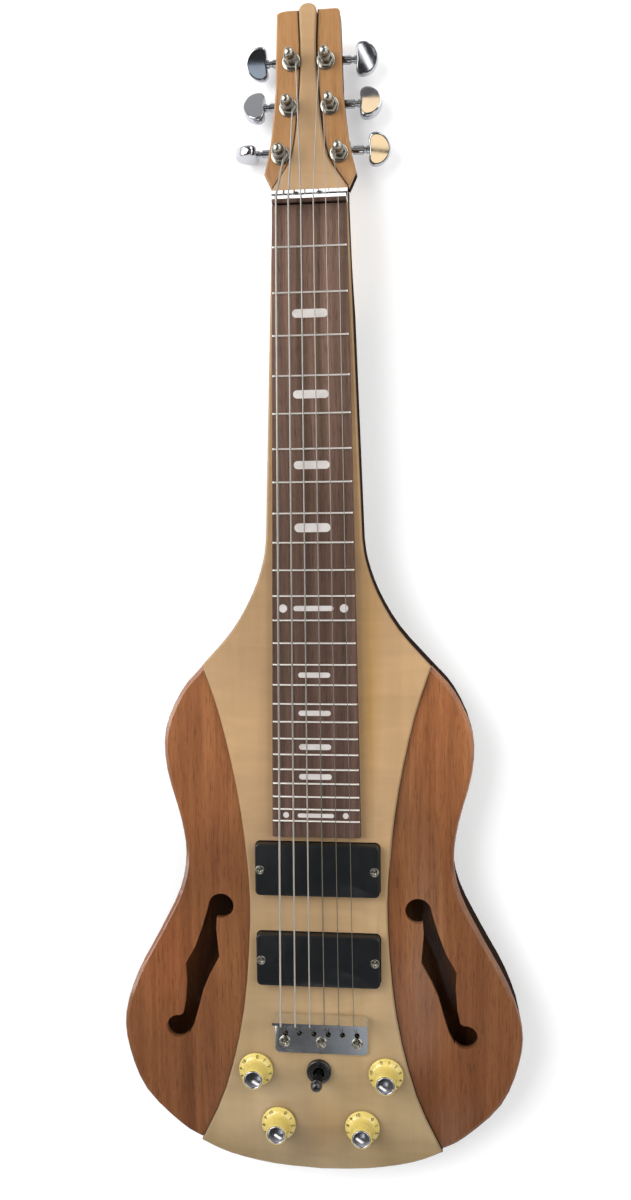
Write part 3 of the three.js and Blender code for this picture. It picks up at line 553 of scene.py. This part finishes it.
# Nut, bridge and their screws
PLATE_BEVEL = 0.2
skin("nut", chrome, "chrome", bevel=PLATE_BEVEL)
skin("bridge", plate_chrome, "chrome", bevel=PLATE_BEVEL)
PLATE_TOP = 40
NUT_SCREWS = [(-9, 573.7), (7, 573.7)]
BRIDGE_SCREWS = [(-25.3, -22.4), (1.4, -22.4), (27.4, -22.4)]

# A screw's radius and rise
NUT_SCREW = (3.1, 1.3)
BRIDGE_SCREW = (4.1, 1.6)
PICKUP_SCREW = (3.3, 0.9)
HOUSING_SCREW = (3, 1)
COVER_SCREW = (2.6, 0.8)

# Its head's rings, as shares of these, and its cross
SCREW_SIDES = 32
HEAD_RINGS = [(1, 0), (1, 0.35), (0.92, 0.7), (0.72, 0.93), (0.45, 1.0), (0.2, 1.0)]
CROSS_HALF = 0.14
CROSS_REACH = 0.62
CROSS_RIM = 0.8
CROSS_DEPTH = 0.6


def screw_head(bm, centre, level, radius, rise, direction):
    """A pan head with a cross cut into it, on a face at the given level."""
    x, y = centre
    rings = []
    for share, height in HEAD_RINGS:
        ring = []
        for k in range(SCREW_SIDES):
            angle = TURN * k / SCREW_SIDES
            px, py = radius * share * math.cos(angle), radius * share * math.sin(angle)
            near, far = sorted((abs(px), abs(py)))
            in_cross = near < radius * CROSS_HALF and far < radius * CROSS_REACH and share < CROSS_RIM
            drop = rise * CROSS_DEPTH if in_cross else 0
            ring.append(at(x + px, y + py, level + direction * (height * rise - drop)))
        rings.append(ring)
    rings_to_mesh(bm, rings)


def screws(places, level, radius, rise, direction=1):
    def build(bm):
        for place in places:
            screw_head(bm, place, level, radius, rise, direction)
    return build


bodies_mesh("nut_screws", screws(NUT_SCREWS, PLATE_TOP, *NUT_SCREW), dark_steel, "guitar", "chrome")
bodies_mesh("bridge_screws", screws(BRIDGE_SCREWS, PLATE_TOP, *BRIDGE_SCREW), nickel, "guitar", "chrome")


# Pickups with their mounting screws
PICKUP_HALF_WIDTH = 44.45
PICKUP_HALF_LENGTH = 18.8
PICKUP_TOP = 45
PICKUP_FOOT = 20
PICKUP_CORNER = 3.2
PICKUP_EDGE = 1.3
PICKUP_PLACES = {"neck_pickup": 106.775, "bridge_pickup": 40.1}
PICKUP_SCREW_X = 40.9

for name, place in PICKUP_PLACES.items():
    outline = rounded_outline(PICKUP_HALF_WIDTH, PICKUP_HALF_LENGTH, PICKUP_CORNER)
    bodies_mesh(name + "_cover",
                lambda bm: plate(bm, (0, place), outline, PICKUP_FOOT, PICKUP_TOP, PICKUP_EDGE),
                black, "guitar", "black_plastic", [name])
    spots = [(-PICKUP_SCREW_X, place), (PICKUP_SCREW_X, place)]
    bodies_mesh(name + "_screws", screws(spots, PICKUP_TOP - SEAT / 2, *PICKUP_SCREW), nickel,
                "guitar", "chrome")


# Knobs with their numbers, and their bright caps
TAIL_SHARE = 0.608
BODY_HALF_WIDTH = 146.2
TAIL_HALF_WIDTH = TAIL_SHARE * BODY_HALF_WIDTH
TAIL_REACH = 121
BRIDGE_REAR = -31


def on_tail(u, v):
    return (u * TAIL_HALF_WIDTH, BRIDGE_REAR - v * (TAIL_REACH + BRIDGE_REAR))


KNOB_PLACES = [on_tail(u, v) for u, v in ((-0.527, 0.158), (0.541, 0.158), (-0.345, 0.61), (0.345, 0.61))]
KNOB_TURNS = [0.02, -0.05, 0.08, 0.12]
KNOB_FOOT = 38.8
KNOB_TOP = 54.2
SKIRT_RADIUS = 12.6
NECK_RADIUS = 8
CROWN_RADIUS = 7.4
CROWN_EDGE = 0.5
SKIRT_EDGE = (0.9, 1.25)
HOLLOW_RADIUS = 6.4
HOLLOW_DEPTH = 4
FLARE_STEPS = 10
FLARE_ENDS = [(11.7, 41.32), (NECK_RADIUS, 42.4), (NECK_RADIUS, 46.5)]
CAP_RADIUS = 6.5
CAP_DEPTH = 1.2
CAP_RIM = 0.4
GROOVE_WIDTH = 0.2
GROOVE_DEPTH = 0.5
DOME_RADIUS = 5.4
DOME_STEPS = 8
NUMBER_RADIUS = 10.7
NUMBER_LEVEL = 42.05
NUMBER_SLOPE = math.radians(24)
NUMBER_SIZE = 3.5
NUMBER_RISE = 0.06
NUMBER_COUNT = 11
SHAFT_RADIUS = 2.6
SHAFT_FOOT = 24
KNOB_SIDES = 64
SKIRT_STEPS = 8
CROWN_STEPS = 3
CAP_SIDES = 48
CAP_RIM_STEPS = 6


def flare():
    """The knob's side, from the skirt's edge to its neck."""
    points = []
    for i in range(FLARE_STEPS + 1):
        t = i / FLARE_STEPS
        weights = ((1 - t) ** 2, 2 * t * (1 - t), t * t)
        points.append(tuple(sum(w * e[axis] for w, e in zip(weights, FLARE_ENDS)) for axis in (0, 1)))
    return points


def knob(place):
    """A flared knob, hollow under its skirt, on its shaft and with a recess for the cap."""
    skirt_middle = (SKIRT_RADIUS - SKIRT_EDGE[0], KNOB_FOOT + SKIRT_EDGE[1])
    skirt = arc(skirt_middle, SKIRT_EDGE, -1, 1, SKIRT_STEPS)
    crown_middle = (CROWN_RADIUS - CROWN_EDGE, KNOB_TOP - CROWN_EDGE)
    crown = arc(crown_middle, (CROWN_EDGE, CROWN_EDGE), 0, 1, CROWN_STEPS)
    ceiling = KNOB_FOOT + HOLLOW_DEPTH
    recess = CAP_RADIUS + SEAT
    profile = [(0, SHAFT_FOOT), (SHAFT_RADIUS, SHAFT_FOOT), (SHAFT_RADIUS, ceiling), (HOLLOW_RADIUS, ceiling),
               (HOLLOW_RADIUS, KNOB_FOOT), *skirt, *flare()[1:], *crown,
               (recess, KNOB_TOP), (recess, KNOB_TOP - CAP_DEPTH), (0, KNOB_TOP - CAP_DEPTH)]
    return lambda bm: lathe(bm, place, profile, KNOB_SIDES)


def knob_cap(place):
    """A bright cap: a rounded rim, a groove inside it and a low dome."""
    rim = arc((CAP_RADIUS - CAP_RIM, KNOB_TOP), (CAP_RIM, CAP_RIM), 0, 2, CAP_RIM_STEPS)
    groove = [(DOME_RADIUS + GROOVE_WIDTH, KNOB_TOP - GROOVE_DEPTH), (DOME_RADIUS, KNOB_TOP - GROOVE_DEPTH)]
    dome = []
    for k in range(DOME_STEPS, -1, -1):
        share = k / DOME_STEPS
        dome.append((DOME_RADIUS * k / DOME_STEPS, KNOB_TOP + CAP_RIM * (1 - share ** 2)))
    profile = [(0, KNOB_TOP - CAP_DEPTH), (CAP_RADIUS, KNOB_TOP - CAP_DEPTH), *rim, *groove, *dome]
    return lambda bm: lathe(bm, place, profile, CAP_SIDES)


def numbers(place, turn):
    """Numerals round a knob's skirt, laid on its slope."""
    def build(bm):
        for i in range(NUMBER_COUNT):
            angle = TURN * (turn + i / (NUMBER_COUNT + 1))
            text = bpy.data.curves.new("numeral", "FONT")
            text.body = str(i)
            text.align_x = "CENTER"
            text.align_y = "CENTER"
            text.size = NUMBER_SIZE * MM
            text.extrude = NUMBER_RISE * MM
            holder = bpy.data.objects.new("numeral", text)
            mesh = bpy.data.meshes.new_from_object(holder)
            spot = at(place[0] + NUMBER_RADIUS * math.sin(angle), place[1] + NUMBER_RADIUS * math.cos(angle),
                      NUMBER_LEVEL)
            mesh.transform(Matrix.Translation(spot) @ Matrix.Rotation(-angle, 4, "Z")
                           @ Matrix.Rotation(-NUMBER_SLOPE, 4, "X"))
            bm.from_mesh(mesh)
            bpy.data.objects.remove(holder)
            bpy.data.curves.remove(text)
            bpy.data.meshes.remove(mesh)
    return build


for i, place in enumerate(KNOB_PLACES, 1):
    body = f"knob_{i}"
    bodies_mesh(f"{body}_shell", knob(place), cream, body, "cream_plastic", [body])
    bodies_mesh(f"{body}_dome", knob_cap(place), cap_chrome, body, "chrome", [f"knob_cap_{i}"])
    bodies_mesh(f"{body}_numbers", numbers(place, KNOB_TURNS[i - 1]), print_ink, body, "black_plastic")


# Toggle switch
SWITCH_PLACE = on_tail(-0.008, 0.158)
SWITCH_RING = [(6.1, 38), (9, 38), (9, 39.9), *arc((7.9, 39.9), (1.1, 1.3), 0, 1, 5), (6.1, 41.2), (6.1, 38)]
LEVER = [(0, 33), *arc((0, 36), (3, 3), -0.9, 0.55, 8), (1.6, 39), (1.6, 56), (0, 56)]
LEVER_TIP = [(0, 56.3), (1.9, 56.3), (1.9, 44), (2.7, 44), (2.95, 44.4), (3.3, 48),
             *arc((0, 57.8), (4.2, 4.2), -0.3, 1, 12)]
SWITCH_PARTS = [
    ("switch_ring", SWITCH_RING, 40, "guitar", "switch_nut"),
    ("lever_rod", LEVER, 24, "switch_lever", "switch_lever"),
    ("lever_cap", LEVER_TIP, 32, "switch_lever", "switch_tip"),
]
for name, profile, sides, body, node in SWITCH_PARTS:
    bodies_mesh(name, lambda bm: lathe(bm, SWITCH_PLACE, profile, sides), black_gloss, body,
                "black_plastic", [node])


# Tuners
TUNER_SHARES = [(0.775, 0.24), (0.543, 0.483), (0.45, 0.713)]
TUNERS = [(side, side * u * NUT_HALF_WIDTH, SCALE_LENGTH + v * HEAD_REACH)
          for side in (-1, 1) for u, v in TUNER_SHARES]
POST_RADIUS = 3.0
POST_TOP = 53
POST_DOME = 1.9
POST_STEPS = 8
POST_SIDES = 36
WAIST_FOOT = 41.9
WAIST = [(2.95, 42.2), (2.72, 43.4), (2.6, 45), (2.72, 46.6), (2.95, 47.8), (3, 48.1)]
HOUSING_FOOT = 6.8
WORM_LEVEL = 12.8
WORM_OFFSET = 8.9
GEAR_RADIUS = 5.5
GEAR_FOOT = 10.8
GEAR_TOP = 14.8
HOUSING_BEVEL = 0.5
BUTTON_CENTRE = 26.8
BUTTON_HALF = (7.9, 11.3)
BUTTON_THICK = 3.6
BUTTON_FACE = 0.8
RIM_STEPS = 12
RIM_SHARES = (0.84, 0.16)
RIM_ROUNDNESS = 0.8
BUTTON_TURNS = [0.5, -0.1, 0.08, 0.07, -0.06, 0.05]
STEM = [(2.2, -4.7), (3, -4.4), (3, 5.6), (2.2, 5.9), (2.2, 8.1), (3.1, 8.3), (3.1, 15.2), (2.3, 16),
        (2.3, 17.4), (2.9, 18), (2.9, 20.4)]
STEM_SIDES = 24
KIDNEY = [(-1, 0.6), (-0.78, 0.92), (-0.3, 1), (0.3, 0.86), (0.78, 0.5), (1, 0), (0.78, -0.5), (0.3, -0.86),
          (-0.3, -1), (-0.78, -0.92), (-1, -0.6), (-0.92, 0)]
KIDNEY_STEPS = 5
WASHER = [(3.3, 35.2), (6.2, 35.2), (6.35, 35.6), (6.1, 36.1), (5.6, 36.3), (3.3, 36.3), (3.3, 35.2)]
HEXAGON_NUT = [(3.3, 36.3), (5.4, 36.3), (5.4, 38.1), (4.7, 38.7), (3.3, 38.7), (3.3, 36.3)]
SLEEVE = [(3.3, HEAD_BACK), (4.4, HEAD_BACK), (4.4, 35.2), (3.3, 35.2), (3.3, HEAD_BACK)]
BUSHING_PARTS = [(WASHER, 48), (HEXAGON_NUT, 6), (SLEEVE, 24)]


def post(place):
    dome = arc((0, POST_TOP - POST_DOME), (POST_RADIUS, POST_DOME), 0, 1, POST_STEPS)[:-1]
    profile = [(0, GEAR_FOOT), (GEAR_RADIUS, GEAR_FOOT), (GEAR_RADIUS, GEAR_TOP), (POST_RADIUS, GEAR_TOP),
               (POST_RADIUS, WAIST_FOOT), *WAIST, *dome, (0, POST_TOP)]
    return lambda bm: lathe(bm, place, profile, POST_SIDES)


def bushing(place):
    def build(bm):
        for profile, sides in BUSHING_PARTS:
            lathe(bm, place, profile, sides)
    return build


def catmull(points, steps):
    """A closed smooth curve through points."""
    count = len(points)
    made = []
    for i in range(count):
        before, a, b, after = (Vector((*points[(i + k - 1) % count], 0)) for k in range(4))
        for s in range(steps):
            t = s / steps
            made.append(0.5 * (2 * a + (b - before) * t + (2 * before - 5 * a + 4 * b - after) * t * t
                               + (3 * a - before - 3 * b + after) * t ** 3))
    return made


def tuner_button(side, x, y, turn):
    """Kidney wing with a domed rim, its stem and the worm inside the housing."""
    outline = catmull([(u * BUTTON_HALF[0], v * BUTTON_HALF[1]) for u, v in KIDNEY], KIDNEY_STEPS)
    centre = Vector((x + side * BUTTON_CENTRE, y + WORM_OFFSET, WORM_LEVEL))
    spin = Matrix.Rotation(turn * math.pi, 3, "X") @ Matrix.Rotation(0 if side > 0 else math.pi, 3, "Z")

    def build(bm):
        angles = [(i / RIM_STEPS - 0.5) * math.pi for i in range(RIM_STEPS + 1)]
        rim = [(RIM_SHARES[0] + RIM_SHARES[1] * math.cos(a) ** RIM_ROUNDNESS, BUTTON_THICK * math.sin(a))
               for a in angles]
        rings = []
        for share, rise in ((BUTTON_FACE, -BUTTON_THICK), *rim, (BUTTON_FACE, BUTTON_THICK)):
            rings.append([at(*(centre + spin @ Vector((p.x * share, p.y * share, rise)))) for p in outline])
        rings_to_mesh(bm, rings)
        turns = [TURN * k / STEM_SIDES for k in range(STEM_SIDES)]
        rings_to_mesh(bm, [[at(x + side * reach, centre.y + r * math.cos(a), WORM_LEVEL + r * math.sin(a))
                            for a in turns] for r, reach in STEM])
    return build


for i, (side, x, y) in enumerate(TUNERS, 1):
    skin(f"tuner_housing_{i}", tuner_chrome, "chrome", bevel=HOUSING_BEVEL, steps=3)
    bodies_mesh(f"tuner_{i}_bushing", bushing((x, y)), nickel, "guitar", "chrome", [f"tuner_bushing_{i}"])
    bodies_mesh(f"tuner_{i}_post", post((x, y)), nickel, f"tuner_post_{i}", "chrome", [f"tuner_post_{i}"])
    bodies_mesh(f"tuner_{i}_button", tuner_button(side, x, y, BUTTON_TURNS[i - 1]), tuner_chrome,
                f"tuner_button_{i}", "chrome", [f"tuner_button_{i}"])
    bodies_mesh(f"tuner_{i}_screw", screws([(x, y)], HOUSING_FOOT, *HOUSING_SCREW, -1), chrome,
                "guitar", "chrome")


# Strings
GAUGES = [1.5, 1.25, 1.02, 0.8, 0.55, 0.45]
BRIDGE_SPREAD = 52
BRIDGE_SHIFT = 1.3
NUT_SPREAD = 41.3
ANCHOR_Y = -16.4
ANCHOR_DEPTH = 6
NUT_FACE = SCALE_LENGTH - 3.8
BRIDGE_FACE = -1
THICKNESS = 2
TURNS = 2
TURN_STEPS = 28
TURN_GAP = 0.6
WAIST_LEVEL = 45
STRING_SIDES = 12
WOUND_STRINGS = 3
TUNER_OF_STRING = [0, 1, 2, 5, 4, 3]


def string_path(i, tuner):
    side, tx, ty = tuner
    radius = GAUGES[i] / 2
    share = i / (len(GAUGES) - 1) - 0.5
    bx, nx = share * BRIDGE_SPREAD, share * NUT_SPREAD
    over = STRING_LEVEL + radius + SEAT / 2
    reel = POST_RADIUS + SEAT + radius
    pitch = GAUGES[i] + TURN_GAP
    nut_y = NUT_FACE + THICKNESS
    to_post = math.atan2(ty - nut_y, tx - nx)
    lean = math.acos(reel / math.hypot(ty - nut_y, tx - nx))
    start = to_post + math.pi - side * lean
    ax = bx + BRIDGE_SHIFT
    path = [(ax, ANCHOR_Y, CORE_TOP - ANCHOR_DEPTH), (ax, ANCHOR_Y, CORE_TOP + THICKNESS),
            (bx, BRIDGE_FACE - THICKNESS - radius, over - radius), (bx, BRIDGE_FACE - THICKNESS / 2, over),
            (nx, NUT_FACE + THICKNESS / 2, over), (nx, nut_y, over)]
    for k in range(TURNS * TURN_STEPS + 1):
        angle = start - side * TURN * k / TURN_STEPS
        path.append((tx + reel * math.cos(angle), ty + reel * math.sin(angle),
                     WAIST_LEVEL - TURNS * pitch / 2 + k / TURN_STEPS * pitch))
    return [at(*p) for p in path]


def tube(points, radius):
    def build(bm):
        side = Vector((1, 0, 0))
        rings = []
        for i, centre in enumerate(points):
            heading = (points[min(i + 1, len(points) - 1)] - points[max(i - 1, 0)]).normalized()
            side = (side - heading * side.dot(heading)).normalized()
            up = heading.cross(side)
            rings.append([centre + (side * math.cos(TURN * k / STRING_SIDES)
                                    + up * math.sin(TURN * k / STRING_SIDES)) * radius * MM
                          for k in range(STRING_SIDES)])
        rings_to_mesh(bm, rings)
    return build


for i, gauge in enumerate(GAUGES):
    path = string_path(i, TUNERS[TUNER_OF_STRING[i]])
    wire = string_steel if i < WOUND_STRINGS else thin_steel
    bodies_mesh(f"string_{i + 1}_wire", tube(path, gauge / 2), wire, "guitar", "string_steel",
                [f"string_{i + 1}"])


# Back and tail: cover, jack and the parts in the cavity
COVER_FACE = 0.9
COVER_BACK = 2
COVER_CORNER = 8.6
COVER_BEVEL = 0.3
COVER_SCREW_INSET = 5
low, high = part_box("control_cover")
cover_middle = ((low[0] + high[0]) / 2 / MM, (low[1] + high[1]) / 2 / MM + MID_Y)
cover_half = ((high[0] - low[0]) / 2 / MM, (high[1] - low[1]) / 2 / MM)
cover_outline = rounded_outline(*cover_half, COVER_CORNER)
bodies_mesh("cover_plate", lambda bm: plate(bm, cover_middle, cover_outline, COVER_FACE, COVER_BACK), black,
            "guitar", "black_plastic", ["control_cover"], bevel=COVER_BEVEL)
cover_screws = []
for sx in (-1, 0, 1):
    for sy in (-1, 1):
        cover_screws.append((cover_middle[0] + sx * (cover_half[0] - COVER_SCREW_INSET),
                             cover_middle[1] + sy * (cover_half[1] - COVER_SCREW_INSET)))
bodies_mesh("cover_screws", screws(cover_screws, COVER_FACE, *COVER_SCREW, -1), chrome, "guitar", "chrome")

JACK_BACK = -119.2
JACK_LEVEL = 18
JACK_PROFILE = [(0, -20), (3.3, -20), (3.3, 1.5), (4.7, 1.5), (4.9, 1.3), (4.9, 0.7), (12, 0.7), (12.5, 0.4),
                (12.5, 0), (5.5, 0), (5.5, -21.5), (0, -21.5)]
JACK_NUT = [(5, 0.7), (7.4, 0.7), (7.4, 1.2), (6.8, 1.45), (5, 1.45), (5, 0.7)]
JACK_PARTS = [(JACK_PROFILE, 48), (JACK_NUT, 6)]


def jack(bm):
    """Plate, threaded sleeve and hexagon nut, turned upright and then laid so that they face the tail."""
    for profile, sides in JACK_PARTS:
        lathe(bm, (0, 0), profile, sides)
    laid = Matrix.Translation(at(0, JACK_BACK, JACK_LEVEL)) @ Matrix.Rotation(math.pi / 2, 4, "X")
    bmesh.ops.transform(bm, matrix=laid @ Matrix.Translation(-at(0, 0, 0)), verts=bm.verts)


bodies_mesh("jack_socket", jack, chrome, "guitar", "chrome", ["output_jack"])
inner_looks = {**{f"pot_{i}": plated_steel for i in range(1, 5)}, "switch_body": black_gloss}
for name, look in inner_looks.items():
    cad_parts[name].data.materials.clear()
    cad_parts[name].data.materials.append(look)


# Floor, light and world
FLOOR_HALF = 4.0
floor_mesh = bpy.data.meshes.new("floor")
corners = [(FLOOR_HALF * sx, FLOOR_HALF * sy, 0) for sx, sy in ((-1, -1), (1, -1), (1, 1), (-1, 1))]
floor_mesh.from_pydata(corners, [], [(0, 1, 2, 3)])
floor_look = Look("floor", {"Base Color": (0.9, 0.9, 0.9, 1.0), "Roughness": 0.9,
                            "Emission Color": (1, 1, 1, 1), "Emission Strength": 0.2})
floor_mesh.materials.append(floor_look.material)
floor = bpy.data.objects.new("floor", floor_mesh)
scene.collection.objects.link(floor)


def area_light(name, place, size, power, colour=(1, 1, 1)):
    light = bpy.data.lights.new(name, "AREA")
    light.shape = "RECTANGLE"
    light.size, light.size_y = size
    light.energy = power
    light.color = colour
    holder = bpy.data.objects.new(name, light)
    scene.collection.objects.link(holder)
    holder.location = place
    return holder


# Soft lamps: name, place, target, size in metres and power
LAMPS = [
    ("key", (-1.05, 0.6, 1.2), (0, 0.05, 0), (1.3, 1.3), 25),
    ("left_strip", (-1.3, 0.1, 0.85), (0, 0, 0), (1.5, 0.1), 5),
    ("fill_right", (1.25, 0.1, 1.15), (0, 0, 0), (1.4, 1.4), 12),
    ("fill_head", (0.8, 1.4, 1.1), (0, 0.1, 0), (1.0, 1.0), 8),
]
for name, place, target, size, power in LAMPS:
    lamp = area_light(name, place, size, power)
    lamp.rotation_euler = (Vector(target) - Vector(place)).to_track_quat("-Z", "Y").to_euler()

# Small level panels overhead, too weak to light the guitar, which its chrome mirrors: name, place and size in
# metres, glow, colour and turn
CARD_LEVEL = 1.23
CARD_POWER = 4
WHITE = (1, 1, 1)
WARM = (1.0, 0.74, 0.42)
COOL = (0.86, 0.93, 1.0)
BLUE = (0.75, 0.86, 1.0)
CARDS = [
    ("nut_card", (-0.125, 0.65), (0.2, 0.08), 1.3, WHITE, 0),
    ("caps_card", (-0.13, -1.22), (0.16, 0.42), 1.5, WHITE, 0.785),
    ("button_4_upper", (0.004, 0.213), (0.09, 0.045), 1.5, WARM, -0.15),
    ("button_4_lower", (0.004, 0.166), (0.09, 0.036), 1.5, WARM, -0.15),
    ("button_5_card", (-0.029, 1.45), (0.1, 0.08), 1.4, WARM, 0),
    ("button_3_card", (-0.212, 0.248), (0.06, 0.03), 0.58, BLUE, 0),
    ("button_6_card", (-0.02, 0.497), (0.008, 0.05), 2.4, WHITE, 0.5),
    ("button_6_edge", (0.0, 0.505), (0.006, 0.05), 1.9, WHITE, 0.5),
]

# A row of panels whose glow rises from left to right, for the bridge plate
BRIDGE_CARDS = 8
BRIDGE_CARD_START = (-0.2, -0.89)
BRIDGE_CARD_SIZE = (0.04, 0.22)
BRIDGE_GLOW = (0.015, 0.95)


def bridge_card(step):
    place = (BRIDGE_CARD_START[0] + BRIDGE_CARD_SIZE[0] * step, BRIDGE_CARD_START[1])
    glow = BRIDGE_GLOW[0] + BRIDGE_GLOW[1] * (step / (BRIDGE_CARDS - 1)) ** 3
    return f"bridge_card_{step}", place, BRIDGE_CARD_SIZE, glow, COOL, 0


for name, place, size, glow, colour, turn in [*map(bridge_card, range(BRIDGE_CARDS)), *CARDS]:
    panel = area_light(name, (*place, CARD_LEVEL), size, CARD_POWER * size[0] * size[1] * glow, colour)
    panel.rotation_euler = (0, 0, turn)

# A studio that is dim at the horizon and overhead, with bright windows between, as the chrome shows it
SKY_STOPS = [(0.0, 0.38), (0.12, 0.5), (0.3, 1.0), (0.5, 0.95), (0.64, 0.55), (0.8, 0.1), (1.0, 0.07)]
WINDOW_STOPS = [(0.0, 1.0), (0.05, 0.93), (0.08, 0.35), (0.2, 0.35), (0.25, 0.8), (0.34, 0.8), (0.38, 0.3),
                (0.52, 0.3), (0.56, 0.86), (0.66, 0.86), (0.7, 0.37), (0.84, 0.4), (0.88, 1.0), (1.0, 1.0)]
SKY_STRENGTH = 1.65
world = bpy.data.worlds.new("studio")
world.use_nodes = True
scene.world = world
tree = world.node_tree


def greys(stops):
    return [(position, (grey,) * 3) for position, grey in stops]


direction = tree.nodes.new("ShaderNodeTexCoord").outputs["Generated"]
height = tree.nodes.new("ShaderNodeSeparateXYZ")
tree.links.new(direction, height.inputs[0])
round_about = tree.nodes.new("ShaderNodeTexGradient")
round_about.gradient_type = "RADIAL"
tree.links.new(direction, round_about.inputs["Vector"])
sky = add_mix(tree, 1.0, add_ramp(tree, height.outputs["Z"], greys(SKY_STOPS)),
              add_ramp(tree, round_about.outputs["Fac"], greys(WINDOW_STOPS)), "MULTIPLY")
background = tree.nodes["Background"]
tree.links.new(sky, background.inputs["Color"])
background.inputs["Strength"].default_value = SKY_STRENGTH
scene.view_settings.view_transform = "Standard"
